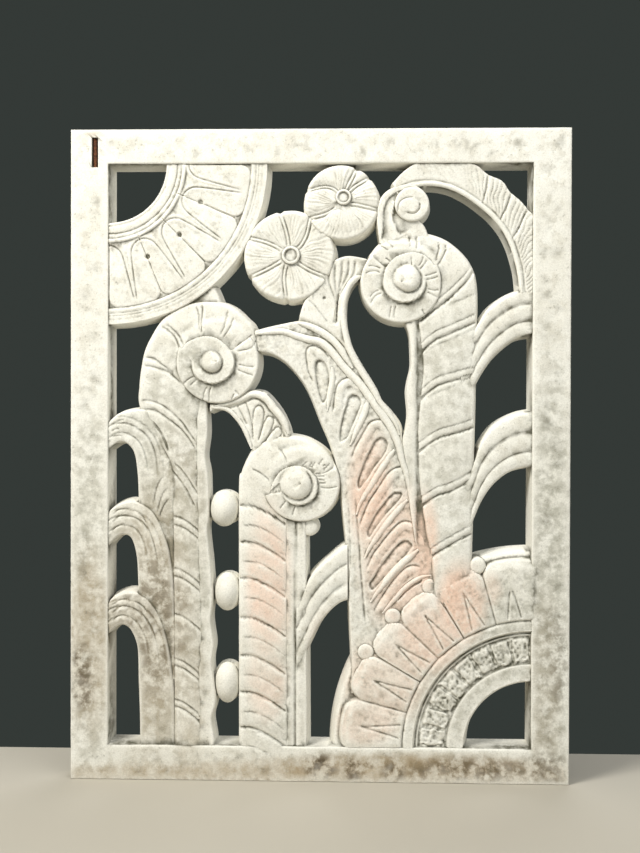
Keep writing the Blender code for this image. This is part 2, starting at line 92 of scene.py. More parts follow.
def board(points):
    """Straighten drawing points: an (..., 2) array of squares to metres on the board, X right and Z up."""
    x, y = points[..., 0], points[..., 1]
    across = (x - SHEET_TOP_LEFT[0]) / (SHEET_TOP_RIGHT[0] - SHEET_TOP_LEFT[0])
    top = SHEET_TOP_LEFT[1] + across * (SHEET_TOP_RIGHT[1] - SHEET_TOP_LEFT[1])
    foot = SHEET_FOOT_LEFT[1] + across * (SHEET_FOOT_RIGHT[1] - SHEET_FOOT_LEFT[1])
    down = (y - top) / (foot - top)
    left = SHEET_TOP_LEFT[0] + down * (SHEET_FOOT_LEFT[0] - SHEET_TOP_LEFT[0])
    right = SHEET_TOP_RIGHT[0] + down * (SHEET_FOOT_RIGHT[0] - SHEET_TOP_RIGHT[0])
    across = (x - left) / (right - left)
    return np.stack([PANEL_MIDDLE + PANEL_WIDTH * (across - 0.5), LOW[2] + PANEL_HEIGHT * (1 - down)],
                    axis=-1)


def drawing(x, z):
    """The drawing point that board() puts at this place in metres, for parts sized from the frame."""
    down = 1 - (z - LOW[2]) / PANEL_HEIGHT
    across = (x - PANEL_MIDDLE) / PANEL_WIDTH + 0.5
    left = SHEET_TOP_LEFT[0] + down * (SHEET_FOOT_LEFT[0] - SHEET_TOP_LEFT[0])
    right = SHEET_TOP_RIGHT[0] + down * (SHEET_FOOT_RIGHT[0] - SHEET_TOP_RIGHT[0])
    u = left + across * (right - left)
    share = (u - SHEET_TOP_LEFT[0]) / (SHEET_TOP_RIGHT[0] - SHEET_TOP_LEFT[0])
    top = SHEET_TOP_LEFT[1] + share * (SHEET_TOP_RIGHT[1] - SHEET_TOP_LEFT[1])
    foot = SHEET_FOOT_LEFT[1] + share * (SHEET_FOOT_RIGHT[1] - SHEET_FOOT_LEFT[1])
    return np.stack([u, top + down * (foot - top)], axis=-1)


def smooth(points, step=2.0):
    """A Catmull-Rom line through a few given points, with a point about every step squares."""
    p = np.asarray(points, float)
    p = np.vstack([2 * p[0] - p[1], p, 2 * p[-1] - p[-2]])
    line = []
    for a, b, c, d in zip(p, p[1:], p[2:], p[3:]):
        count = max(1, int(round(np.hypot(*(c - b)) / step)))
        t = np.linspace(0, 1, count, endpoint=False)[:, None]
        line.append(0.5 * (2 * b + (c - a) * t + (2 * a - 5 * b + 4 * c - d) * t ** 2
                           + (3 * b - a - 3 * c + d) * t ** 3))
    return np.vstack(line + [p[-2:-1]])


def stroke(path):
    """Three or more points as a smooth line, and two as a straight one."""
    return smooth(path) if len(path) > 2 else np.asarray(path, float)


def evenly(line, count):
    """The same line with count points at equal distances."""
    gaps = np.hypot(*np.diff(line, axis=0).T)
    along = np.concatenate([[0], np.cumsum(gaps)])
    want = np.linspace(0, along[-1], count)
    return np.stack([np.interp(want, along, line[:, 0]), np.interp(want, along, line[:, 1])], axis=-1)


def ray(centre, angle, radius):
    """The point at this angle (degrees, counter-clockwise from the right) and radius from a centre."""
    turn = np.radians(angle)
    return np.stack([centre[0] + radius * np.cos(turn), centre[1] - radius * np.sin(turn)], axis=-1)


def polar_of(points, centre):
    """Radius and angle in degrees of drawing points round a centre."""
    dx, dy = points[..., 0] - centre[0], centre[1] - points[..., 1]
    return np.hypot(dx, dy), np.degrees(np.arctan2(dy, dx))


def turn_between(angle, other):
    """The signed difference of two angles, in degrees, within half a turn."""
    return (angle - other + 180) % 360 - 180


# ---------------------------------------------------------------- carving on height arrays

def step_up(value, low, high):
    """0 below low, 1 above high, and a smooth ramp between."""
    t = np.clip((value - low) / (high - low), 0, 1)
    return t * t * (3 - 2 * t)


def hump(distance, width):
    """1 at no distance, falling along a parabola to 0 at this width."""
    return np.clip(1 - (distance / width) ** 2, 0, 1)


def reach(points, line):
    """Distance from each point to a line, how far along it (0 to 1) and on which side (left is positive)."""
    a, b = line[:-1], line[1:]
    span = b - a
    size = np.maximum((span ** 2).sum(1), 1e-9)
    flat = points.reshape(-1, 2)
    best = np.full(len(flat), 1e9)
    share = np.zeros(len(flat))
    side = np.zeros(len(flat))
    nearest = flat.copy()
    lengths = np.concatenate([[0], np.cumsum(np.sqrt(size))])
    for i in range(len(a)):
        t = np.clip(((flat - a[i]) @ span[i]) / size[i], 0, 1)
        foot = a[i] + t[:, None] * span[i]
        gap = np.hypot(*(flat - foot).T)
        closer = gap < best
        best = np.where(closer, gap, best)
        share = np.where(closer, (lengths[i] + t * math.sqrt(size[i])) / lengths[-1], share)
        cross = span[i][0] * (flat[:, 1] - a[i][1]) - span[i][1] * (flat[:, 0] - a[i][0])
        side = np.where(closer, -np.sign(cross), side)
        nearest = np.where(closer[:, None], foot, nearest)
    shape = points.shape[:-1]
    return best.reshape(shape), share.reshape(shape), side.reshape(shape), nearest.reshape(points.shape)


class Carving:
    """A grid of drawing points with a height over the frame's face at each, in millimetres."""

    def __init__(self, points, height=0.0):
        self.points = points
        self.height = np.full(points.shape[:-1], float(height))

    def line(self, path, width=1.6, depth=1.6, fade=0.12, snap=0.9):
        """Cut (or, with a negative depth, raise) a soft V along a path, running out over fade at both ends."""
        path = stroke(path)
        gap, share, side, nearest = reach(self.points, path)
        inside = (gap < snap) & (share > 0) & (share < 1)
        inside[0], inside[-1], inside[:, 0], inside[:, -1] = False, False, False, False
        self.points = np.where(inside[..., None], 0.25 * self.points + 0.75 * nearest, self.points)
        gap = np.where(inside, 0.25 * gap, gap)
        ends = step_up(share, 0, fade) * step_up(1 - share, 0, fade) if fade else 1.0
        self.height -= depth * ends * hump(gap, width) ** 1.4
        return self

    def inside_of(self, outline):
        """Signed distance to a closed outline, positive inside."""
        loop = np.vstack([outline, outline[:1]])
        gap = reach(self.points, loop)[0]
        x, y = self.points[..., 0], self.points[..., 1]
        odd = np.zeros(x.shape, bool)
        for (ax, ay), (bx, by) in zip(loop, loop[1:]):
            if ay != by:
                crosses = ((ay > y) != (by > y)) & (x < (bx - ax) * (y - ay) / (by - ay) + ax)
                odd ^= crosses
        return np.where(odd, gap, -gap)

    def shelf(self, path, depth, width, fade=(0.12, 0.12)):
        """Step down sharply on the right-hand side of a path, and rise again gently over this width."""
        path = stroke(path)
        gap, share, side = reach(self.points, path)[:3]
        ends = step_up(share, 0, fade[0]) * step_up(1 - share, 0, fade[1])
        floor = np.clip(1 - (gap - 1.2) / width, 0, 1) ** 1.3 * step_up(gap, 0, 1.3)
        self.height -= depth * ends * np.where(side < 0, floor, 0.0)
        return self

    def wobble(self, size, amount, seed):
        """Hand-made unevenness."""
        self.height += amount * uneven(self.points / size, seed)
        return self


LATTICE = 64                              # cells across the noise before it repeats


def uneven(points, seed):
    """Smooth noise from -1 to 1 over the drawing, from a fixed lattice of random values."""
    lattice = np.random.default_rng(seed).uniform(-1, 1, (LATTICE, LATTICE))
    x, y = points[..., 0], points[..., 1]
    i, j = np.floor(x).astype(int), np.floor(y).astype(int)
    u, v = x - i, y - j
    u, v = u * u * (3 - 2 * u), v * v * (3 - 2 * v)
    value = 0
    for di, wu in ((0, 1 - u), (1, u)):
        for dj, wv in ((0, 1 - v), (1, v)):
            value = value + wu * wv * lattice[(i + di) % LATTICE, (j + dj) % LATTICE]
    return value


# ---------------------------------------------------------------- solids

def spread(count, edge=0.5):
    """Shares from 0 to 1 across a part, closer together at its two edges."""
    t = np.linspace(0, 1, count)
    return (1 - edge) * t + edge * (0.5 - 0.5 * np.cos(np.pi * t))


def between(left, right, along, across, edge=0.5):
    """A grid of points between two rails: one row for each step along them."""
    a, b = evenly(smooth(left), along), evenly(smooth(right), along)
    s = spread(across, edge)[None, :, None]
    return a[:, None] * (1 - s) + b[:, None] * s


def rosette_grid(centre, radius, rings, steps):
    """Rings of points round a centre: the first axis goes round, and the second outwards."""
    radii = radius * spread(rings, 0.35)[1:]
    angles = np.arange(steps) * 360 / steps
    return ray(centre, angles[:, None], radii[None, :] * np.ones((steps, 1)))


def link_object(name, mesh):
    """A new object of this mesh, in the scene."""
    obj = bpy.data.objects.new(name, mesh)
    bpy.context.scene.collection.objects.link(obj)
    return obj


def as_evaluated(obj):
    """The plain mesh that an object's modifiers make."""
    return bpy.data.meshes.new_from_object(obj.evaluated_get(bpy.context.evaluated_depsgraph_get()))


def to_mesh(name, verts, faces):
    """A mesh of these corners and faces, all facing outward."""
    mesh = bpy.data.meshes.new(name)
    mesh.from_pydata([tuple(v) for v in verts], [], faces)
    mesh.validate()
    bm = bmesh.new()
    bm.from_mesh(mesh)
    bmesh.ops.recalc_face_normals(bm, faces=bm.faces)
    bm.to_mesh(mesh)
    bm.free()
    return mesh


def solid(name, carving, closed=False, draft=DRAFT):
    """Close a carved grid into a solid, with drafted sides and a flat back behind the casting's own."""
    points, height = carving.points, carving.height
    rows, columns = height.shape
    index = np.arange(rows * columns).reshape(rows, columns)
    quads = []
    for i in range(rows if closed else rows - 1):
        k = (i + 1) % rows
        for j in range(columns - 1):
            quads.append((index[i, j], index[i, j + 1], index[k, j + 1], index[k, j]))
    if closed:
        loop = index[:, -1]
    else:
        loop = np.concatenate([index[0, :-1], index[:-1, -1], index[-1, :0:-1], index[:0:-1, 0]])
    flat = points.reshape(-1, 2)
    heights = height.reshape(-1)
    edge = flat[loop]
    ahead, behind = np.roll(edge, -1, axis=0), np.roll(edge, 1, axis=0)
    tangent = ahead - behind
    area = (edge[:, 0] * ahead[:, 1] - ahead[:, 0] * edge[:, 1]).sum()
    normal = np.stack([tangent[:, 1], -tangent[:, 0]], axis=-1) * np.sign(area)
    normal /= np.maximum(np.hypot(*normal.T), 1e-6)[:, None]
    plan = [flat]
    level = [heights]
    count = len(flat)
    rings = [loop]
    for share in (0.5, 1.0):
        plan.append(edge + normal * draft * share)
        level.append(heights[loop] * (1 - share) + BEHIND_MM * share)
        rings.append(np.arange(count, count + len(loop)))
        count += len(loop)
    for inner, outer in zip(rings, rings[1:]):
        for i in range(len(loop)):
            k = (i + 1) % len(loop)
            quads.append((inner[i], inner[k], outer[k], outer[i]))
    quads.append(tuple(rings[-1][::-1]))
    if closed:
        plan.append(edge.mean(0)[None])
        level.append(np.array([height[:, 0].mean()]))
        for i in range(rows):
            quads.append((count, index[i, 0], index[(i + 1) % rows, 0]))
    metres = board(np.vstack(plan))
    depth = BACK_Y - (np.concatenate(level) - BACK_MM) * MM
    verts = np.column_stack([metres[:, 0], depth, metres[:, 1]])
    SOLIDS[name] = link_object(name, to_mesh(name, verts.tolist(),
                                             [tuple(int(i) for i in q) for q in quads]))
    return SOLIDS[name]


# ---------------------------------------------------------------- common parts of the carving

def round_over(edge, radius, drop):
    """Height lost near an edge: 0 further in than radius, and drop right at the edge."""
    t = np.clip(1 - edge / radius, 0, 1)
    return -drop * (1 - np.sqrt(1 - t * t))


def rail_part(left, right, along, across, face, crown=0.0, radius=3.0, drop=3.5, seed=1):
    """A carving between two rails, domed across by crown and rounded over at both rails."""
    left, right = smooth(left), smooth(right)
    carving = Carving(between(left, right, along, across), face)
    share = spread(across)[None, :]
    width = np.hypot(*(carving.points[:, -1] - carving.points[:, 0]).T)[:, None]
    carving.height -= crown * (2 * share - 1) ** 2
    carving.height += round_over(np.minimum(share, 1 - share) * width, radius, drop)
    return carving.wobble(9, 0.35, seed)


def disc_part(centre, radius, rings, steps, face, rim=3.0, drop=3.5, seed=1):
    """A round carving with a rounded rim."""
    carving = Carving(rosette_grid(centre, radius, rings, steps), face)
    away, angle = polar_of(carving.points, centre)
    carving.height += round_over(radius - away, rim, drop)
    return carving.wobble(9, 0.3, seed), away, angle


def around_scroll(points, centre, corner, turn):
    """Distance from a scroll's centre, and degrees gone round since its inner turn left the outer circle."""
    away, angle = polar_of(points, centre)
    return away, (turn * (angle - polar_of(np.array(corner), centre)[1])) % 360


def level_hood(stem, centre, radius, loop, turn, hood, level):
    """Bring a stem's hood to one level over the top of its rosette, so that the ring runs on into it."""
    away, after = around_scroll(stem.points, centre, loop[0], turn)
    over = np.maximum(step_up(hood + 10 - after, 0, 30), step_up(after, 310, 360))
    stem.height += step_up(radius + 6 - away, 0, 8) * over * (level - stem.height)


def rosette(name, centre, radius, base, loop, turn, hood, band, rise, extra, boss, cuts, seed):
    """A scroll's wound-up end: the ring, the raised inner turn inside its loop, and the boss.

    The loop starts at the corner where it leaves the outer circle, and turn is 1 counter-clockwise and -1
    clockwise. For hood degrees after the corner the ring is part of the hood, and for band degrees before it
    the ring climbs. The boss is its place, its radius and its rise.
    """
    disc = disc_part(centre, radius, 44, 210, base, 2.4, 3.0, seed)[0]
    after = around_scroll(disc.points, centre, loop[0], turn)[1]
    before = 360 - after
    inside = step_up(disc.inside_of(smooth(loop)), -0.5, 1.0)
    lift = np.maximum(inside, step_up(band - before, 0, band))
    disc.height += rise * lift + extra * inside * step_up(after, 20, 170) * step_up(before, 0, 60)
    disc.height -= 7.0 * step_up(hood - after, 0, 12) * (1 - lift)
    place, size, tall = boss
    reach_out, facing = polar_of(disc.points, place)
    soft = step_up(np.cos(np.radians(facing - 130)), -0.3, 0.9)
    dome = np.clip(1 - (reach_out / (size * (1 + 0.30 * soft))) ** 2, 0, 1)
    disc.height += tall * dome ** (0.5 + 0.6 * soft) - 0.8 * hump(reach_out - size - 0.8, 1.6) * (1 - soft)
    for path in cuts:
        disc.line(path, 1.25, 1.5, 0.15)
    solid(name, disc.wobble(3.0, 0.12, seed + 1), closed=True, draft=3.0)


# ---------------------------------------------------------------- mouldings and instances

def node_tree(name, *inputs):
    """A geometry tree with a geometry input and output and these (label, socket type, value) inputs."""
    tree = bpy.data.node_groups.new(name, "GeometryNodeTree")
    tree.interface.new_socket("Geometry", in_out="INPUT", socket_type="NodeSocketGeometry")
    for label, kind, value in inputs:
        socket = tree.interface.new_socket(label, in_out="INPUT", socket_type="NodeSocket" + kind)
        if value is not None:
            socket.default_value = value
    tree.interface.new_socket("Geometry", in_out="OUTPUT", socket_type="NodeSocketGeometry")
    return tree, tree.nodes.new("NodeGroupInput").outputs, tree.nodes.new("NodeGroupOutput").inputs


def grown(obj, tree, **values):
    """Run a geometry tree on an object, keep the plain mesh that it makes, and remove the modifier."""
    modifier = obj.modifiers.new(tree.name, "NODES")
    modifier.node_group = tree
    for item in tree.interface.items_tree:
        if item.in_out == "INPUT" and item.name in values:
            modifier[item.identifier] = values[item.name]
    mesh = as_evaluated(obj)
    obj.modifiers.remove(modifier)
    mesh.name = obj.name
    obj.data = mesh
    return obj


def cord_tree():
    """Sweep a lumpy round moulding along a line of points that each carry a size."""
    tree, given, out = node_tree("moulding", ("Sides", "Int", 14), ("Lumps", "Float", 0.0003),
                                 ("Seed", "Float", 0.0),
                                 ("Material", "Material", None))
    line = add(tree, "GeometryNodeMeshToCurve", ("Mesh", given["Geometry"])).outputs[0]
    size = add(tree, "GeometryNodeInputNamedAttribute", ("Name", "size")).outputs[0]
    ring = add(tree, "GeometryNodeCurvePrimitiveCircle", ("Resolution", given["Sides"]),
               ("Radius", 1.0)).outputs[0]
    cord = add(tree, "GeometryNodeCurveToMesh", ("Curve", line), ("Profile Curve", ring), ("Scale", size),
               ("Fill Caps", True)).outputs[0]
    lumps = add(tree, "ShaderNodeTexNoise", ("W", given["Seed"]), ("Scale", 90.0), ("Detail", 1.0),
                noise_dimensions="4D").outputs["Fac"]
    amount = add(tree, "ShaderNodeMath", (0, lumps), (1, 0.5), operation="SUBTRACT").outputs[0]
    amount = add(tree, "ShaderNodeMath", (0, amount), (1, given["Lumps"]), operation="MULTIPLY").outputs[0]
    push = add(tree, "ShaderNodeVectorMath", (0, add(tree, "GeometryNodeInputNormal").outputs[0]),
               ("Scale", amount),
               operation="SCALE").outputs[0]
    moved = add(tree, "GeometryNodeSetPosition", ("Geometry", cord), ("Offset", push)).outputs[0]
    whole = add(tree, "GeometryNodeRealizeInstances", ("Geometry", moved)).outputs[0]
    done = add(tree, "GeometryNodeSetMaterial", ("Geometry", whole),
               ("Material", given["Material"])).outputs[0]
    tree.links.new(done, out["Geometry"])
    return tree


def upright(points, height):
    """Board places at these heights over the face, in metres, standing upright in the casting's box."""
    metres = board(points)
    return np.column_stack([metres[:, 0], BACK_Y - (height - BACK_MM) * MM, metres[:, 1]])


def line_object(name, places, **values):
    """An object of joined points for a geometry tree, with a float value for each point."""
    mesh = bpy.data.meshes.new(name)
    mesh.from_pydata(places.tolist(), [(i, i + 1) for i in range(len(places) - 1)], [])
    for label, value in values.items():
        layer = mesh.attributes.new(label, "FLOAT", "POINT")
        layer.data.foreach_set("value", np.broadcast_to(value, len(places)).astype(np.float32))
    return link_object(name, mesh)


def cord(name, path, radius, top, seed, taper=(0.1, 0.1), lumps=0.7):
    """A round moulding along a path, with its radius in squares and its crown in millimetres over the face."""
    line = smooth(path, 1.6)
    share = np.linspace(0, 1, len(line))
    sizes = np.interp(share, np.linspace(0, 1, np.size(radius)), np.atleast_1d(radius))
    sizes = sizes * np.sqrt(np.clip(np.minimum(share / taper[0], (1 - share) / taper[1]), 0.12, 1))
    tops = np.interp(share, np.linspace(0, 1, np.size(top)), np.atleast_1d(top))
    millimetres = sizes * SQUARE_MM
    obj = line_object(name, upright(line, tops - millimetres), size=millimetres * MM)
    if "moulding" not in bpy.data.node_groups:
        cord_tree()
    SOLIDS[name] = grown(obj, bpy.data.node_groups["moulding"], Lumps=lumps * MM, Seed=float(seed))


# ---------------------------------------------------------------- frame blank

def build_frame_blank():
    """The surround: a square-edged ring, swept round the panel, with worn arrises and a few knocks."""
    sizes = bpy.context.scene.pierced_panel_sizes
    half_w, half_h = PANEL_WIDTH / 2, PANEL_HEIGHT / 2
    across_n, up_n = int(PANEL_WIDTH / SURROUND_STEP), int(PANEL_HEIGHT / SURROUND_STEP)
    t_w, t_h = np.linspace(-1, 1, across_n, endpoint=False), np.linspace(-1, 1, up_n, endpoint=False)
    walk = np.vstack([
        np.column_stack([t_w, -np.ones(across_n)]), np.column_stack([np.ones(up_n), t_h]),
        np.column_stack([-t_w, np.ones(across_n)]), np.column_stack([-np.ones(up_n), -t_h])])
    outer = walk * (half_w, half_h)
    window_w = half_w - sizes.side_rail
    window_low, window_high = -half_h + sizes.bottom_rail, half_h - sizes.top_rail
    inner = np.column_stack([walk[:, 0] * window_w,
                             (window_low + window_high) / 2 + walk[:, 1] * (window_high - window_low) / 2])
    spread_back = DRAFT * SQUARE_MM * MM
    inward = np.column_stack([-walk[:, 0] * (np.abs(walk[:, 0]) > 0.999),
                              -walk[:, 1] * (np.abs(walk[:, 1]) > 0.999)])
    # Across the front, from the outer arris to the window; the window's side, back and outside follow below.
    section = (
        (0.0, ARRIS_MM), (0.004, -1.2), (0.014, -0.35), (0.035, 0.0), (0.12, 0.0), (0.24, 0.0), (0.36, 0.0),
        (0.48, 0.0), (0.60, 0.0), (0.72, 0.0), (0.84, 0.0), (0.93, 0.0), (0.975, -0.3), (0.994, -1.1),
        (1.0, WINDOW_ARRIS_MM))
    rows = []
    for share, height in section:
        rows.append((outer * (1 - share) + inner * share, np.full(len(outer), height)))
    for share in (0.25, 0.5, 0.75, 1.0):
        rows.append((inner + inward * spread_back * share,
                     np.full(len(outer), WINDOW_ARRIS_MM + (BACK_MM - WINDOW_ARRIS_MM) * share)))
    for share in (0.66, 0.33):
        rows.append((outer * (1 - share) + (inner + inward * spread_back) * share,
                     np.full(len(outer), BACK_MM)))
    rows.append((outer * 0.998, np.full(len(outer), BACK_MM)))
    for share in (0.96, 0.8, 0.6, 0.4, 0.2):
        rows.append((outer, np.full(len(outer), ARRIS_MM + (BACK_MM - ARRIS_MM) * share)))
    middle = LOW[2] + half_h
    verts, faces = [], []
    count = len(outer)
    for place, height in rows:
        x = PANEL_MIDDLE + place[:, 0]
        z = middle + place[:, 1]
        squares = drawing(x, z)
        front = height > -3
        height = height + np.where(front, 0.45 * uneven(squares / 14, 3) + 0.2 * uneven(squares / 4, 4), 0.0)
        worn = 0.55 * uneven(squares / 6, 5) + 0.35 * uneven(squares / 2.5, 6)
        edge = np.minimum(np.abs(np.abs(place[:, 0]) - half_w), np.abs(np.abs(place[:, 1]) - half_h)) < 0.004
        height = np.where(front & edge, height - np.abs(worn) * 1.4, height)
        verts.append(np.column_stack([x, BACK_Y - (height - BACK_MM) * MM, z]))
    verts = np.vstack(verts)
    for r in range(len(rows)):
        for i in range(count):
            a, b = r * count + i, r * count + (i + 1) % count
            c, d = ((r + 1) % len(rows)) * count + (i + 1) % count, ((r + 1) % len(rows)) * count + i
            faces.append((a, b, c, d))
    SOLIDS["frame_blank"] = link_object("frame_blank", to_mesh("frame_blank", verts.tolist(), faces))


# ---------------------------------------------------------------- fans

UPPER_FAN = (109.5, 164.0)
LOWER_FAN = (531.0, 748.0)


def petal_row(away, angle, first, pitch, inner, outer, corner):
    """Squares into the nearest petal of a fan, negative outside, and the angle from that petal's middle."""
    off = turn_between(angle, first + pitch * np.round((turn_between(angle, first)) / pitch))
    side = np.radians(pitch / 2 - np.abs(off)) * away
    end = outer - away
    cut = corner - np.hypot(np.maximum(corner - side, 0), np.maximum(corner - end, 0))
    return np.minimum(np.where((side < corner) & (end < corner), cut, np.minimum(side, end)), away
                      - inner), off


def build_upper_fan():
    """A quarter fan: grooved rings, arched petals between thin darts with drilled joints, and a lined rim."""
    radii = np.concatenate([np.linspace(58, 80, 24, endpoint=False),
                            np.linspace(80, 141, 56, endpoint=False),
                            np.linspace(141, 160, 22)])
    angles = np.linspace(3, -93, 260)
    fan = Carving(ray(UPPER_FAN, angles[:, None], radii[None, :]), -2.2)
    away, angle = polar_of(fan.points, UPPER_FAN)
    fan.height += round_over(away - 58, 1.4, 1.6) + round_over(160 - away, 1.5, 1.8)
    fan.height -= 2.6 * step_up(away, 76.8, 78.6) * step_up(144.2 - away, 0, 1.4)
    into, off = petal_row(away, angle, -11.25, 22.5, 74, 143.2, 11.0)
    fan.height += 2.0 * step_up(into, -0.3, 1.0) + 0.7 * step_up(into, 0, 12)
    for radius, depth in ((61.2, 1.1), (69.0, 1.4), (148.2, 0.8), (150.8, 0.6), (154.5, 0.35)):
        fan.height -= depth * hump(away - radius, 1.2)
    for joint in (-22.5, -45.0, -67.5):
        fan.line([ray(UPPER_FAN, joint + 0.4, 105), ray(UPPER_FAN, joint, 120), ray(UPPER_FAN, joint, 138)],
                 1.4, 1.7, 0.06)
        hole = np.hypot(*(fan.points - ray(UPPER_FAN, joint + 0.5, 99.5)).transpose(2, 0, 1))
        fan.height -= 3.6 * step_up(3.4 - hole, 0, 1.8)
    for middle in (-11.25, -33.75, -56.25, -78.75):
        for side in (-1, 1):
            flare = [(80.6, 11.0), (81.6, 8.0), (85, 5.0), (91, 3.0), (108, 1.7), (139, 0.5)]
            path = smooth([ray(UPPER_FAN, middle + side * a, r) for r, a in flare])
            gap, share = reach(fan.points, path)[:2]
            fan.height -= 1.3 * hump(gap, 1.2) * step_up(1 - share, 0, 0.12)
            within = step_up(side * turn_between(angle, middle), 0, 0.4)
            fan.height += (0.5 * within * np.clip(1 - np.abs(gap - 1.6) / 3.0, 0, 1)
                           * step_up(1 - share, 0, 0.3))
    fan.wobble(10, 0.35, 11)
    fan.wobble(3, 0.18, 12)
    solid("upper_fan", fan)


def build_lower_fan():
    """The other corner's fan: a plain ring, worn blocks, a flat bead ring and six pillowed petals."""
    radii = np.concatenate([np.linspace(66, 84, 12, endpoint=False),
                            np.linspace(84, 112, 20, endpoint=False),
                            np.linspace(112, 130, 16, endpoint=False),
                            np.linspace(130, 186, 26, endpoint=False),
                            np.linspace(186, 197, 9)])
    angles = np.linspace(87, 183, 210)
    ring = Carving(ray(LOWER_FAN, angles[:, None], radii[None, :]), -3.0)
    away, angle = polar_of(ring.points, LOWER_FAN)
    joints = np.array([87.0, 105.5, 121.0, 135.5, 149.0, 164.0, 181.5])
    which = np.clip(np.searchsorted(joints, angle) - 1, 0, len(joints) - 2)
    low, high = joints[which], joints[which + 1]
    off = angle - (low + high) / 2
    half = (high - low) / 2
    side = np.radians(half - np.abs(off)) * away
    end = 190.5 - away - 3.0 * (off / half) ** 2
    corner = 14.0
    cut = corner - np.hypot(np.maximum(corner - side, 0), np.maximum(corner - end, 0))
    into = np.where((side < corner) & (end < corner), cut, np.minimum(side, end))
    petal = step_up(away, 127.2, 128.6)
    # Under the petals the ground falls away, so the joints read as deep dark lines.
    ring.height += petal * (-9.0 + 11.0 * step_up(into, -1.6, 1.2) + 1.8 * step_up(into, 0.4, 9))
    ring.height -= petal * 3.0 * step_up(away, 181, 192) * step_up(into, -2, 2)
    ring.height += round_over(away - 66, 1.8, 2.2)
    ring.height -= 3.4 * step_up(away, 82.6, 84.4) * step_up(113.4 - away, 0, 1.6)
    ring.height -= 3.2 * hump(away - 114.6, 2.0) ** 0.8
    ring.height += 2.2 * step_up(away, 115.8, 117.4) * step_up(127.6 - away, 0, 1.6)
    ring.height -= 1.6 * hump(away - 128.2, 1.3)
    for k in range(8):
        stone = 95.5 + 11.2 * k
        gap = 4.4 - np.abs(turn_between(angle, stone)) + 0.7 * uneven(ring.points / 5, 20 + k)
        block = step_up(np.radians(gap) * away, -0.6, 0.8)
        block = (block * step_up(away + 1.2 * uneven(ring.points / 4, 30 + k), 86, 88)
                 * step_up(110.5 - away, 0, 2))
        ring.height += (2.4 + 0.8 * uneven(ring.points / 9, 40 + k)) * block
    rough = step_up(away, 83, 86) * step_up(113 - away, 0, 2)
    ring.height += rough * (1.3 * uneven(ring.points / 2.4, 51) + 0.9 * uneven(ring.points / 4.5, 52) - 0.5)
    for k, (a, b) in enumerate(zip(joints, joints[1:])):
        middle = min(max((a + b) / 2, 97.0), 173.0)
        apex = 172 if k else 160
        for turn in (-1, 1):
            vein = [ray(LOWER_FAN, middle, apex), ray(LOWER_FAN, middle + 0.9 * turn, 155),
                    ray(LOWER_FAN, middle + 3.2 * turn, 129)]
            ring.line(vein, 1.5, 1.5, 0.1)
    ring.wobble(8, 0.6, 13)
    ring.wobble(2.6, 0.3, 14)
    edge = round_over(197 - away, 5.0, 5.0)
    ring.height += edge
    solid("lower_fan", ring, draft=5.0)
    for k, joint in enumerate((105.5, 121.0, 135.5, 149.0)):
        place = ray(LOWER_FAN, joint + 0.6, 190.0)
        nub, away, angle = disc_part(place, 8.5, 8, 20, -2.4, 4.0, 4.0, 60 + k)
        solid(f"fan_nub_{k}", nub, closed=True, draft=1.5)


# ---------------------------------------------------------------- flowers

def build_flower(name, centre, radius, joints, button, button_radius, puff, seed):
    """An open flower: petals swelling between curved pairs of lines, fine strokes on them and a ring button.

    Each joint is the angle at which its lines leave the button and the angle at which they reach the rim.
    """
    flower, away, angle = disc_part(centre, radius, 34, 300, -1.5, 3.6, 4.2, seed)
    share = away / radius
    squares = np.full(away.shape, 99.0)
    for inner, outer in joints:
        line = inner + turn_between(outer, inner) * step_up(share, 0.15, 1.05)
        squares = np.minimum(squares, np.abs(np.radians(turn_between(angle, line))) * away)
    flower.height += puff * step_up(squares, 0, 11) - 0.8 * (1 - share)
    flower.height -= 1.5 * hump(squares - 1.9, 1.15) * step_up(share, 0.2, 0.3)
    flower.height += 0.7 * hump(squares, 1.2) * step_up(share, 0.2, 0.4)
    flower.height -= puff * step_up(3.0 - squares, 0, 3.0) * step_up(share, 0.8, 1.0)
    drift = turn_between(angle, 14 * (1 - share)) + 3.5 * uneven(flower.points / 10, seed)
    strokes = np.sin(np.radians(drift) * 50) + 0.7 * np.sin(np.radians(drift) * 31 + 2)
    flower.height += 0.24 * strokes * step_up(squares, 3, 6) * step_up(share, 0.25, 0.42)
    flower.height -= 0.8 * step_up(share, 0.93, 1.0)
    pull = 1 - 0.035 * step_up(4 - squares, 0, 4) + 0.012 * uneven(flower.points / 12, seed + 3)
    flower.points = centre + (flower.points - centre) * pull[..., None]
    solid(name, flower, closed=True, draft=2.6)
    ring, away, angle = disc_part(button, button_radius, 16, 50, 2.4, 1.6, 1.8, seed + 1)
    ring.height -= 2.8 * step_up(0.72 * button_radius - away, -0.6, 1.2)
    ring.wobble(2.5, 0.3, seed + 2)
    solid(name + "_button", ring, closed=True, draft=0.0)


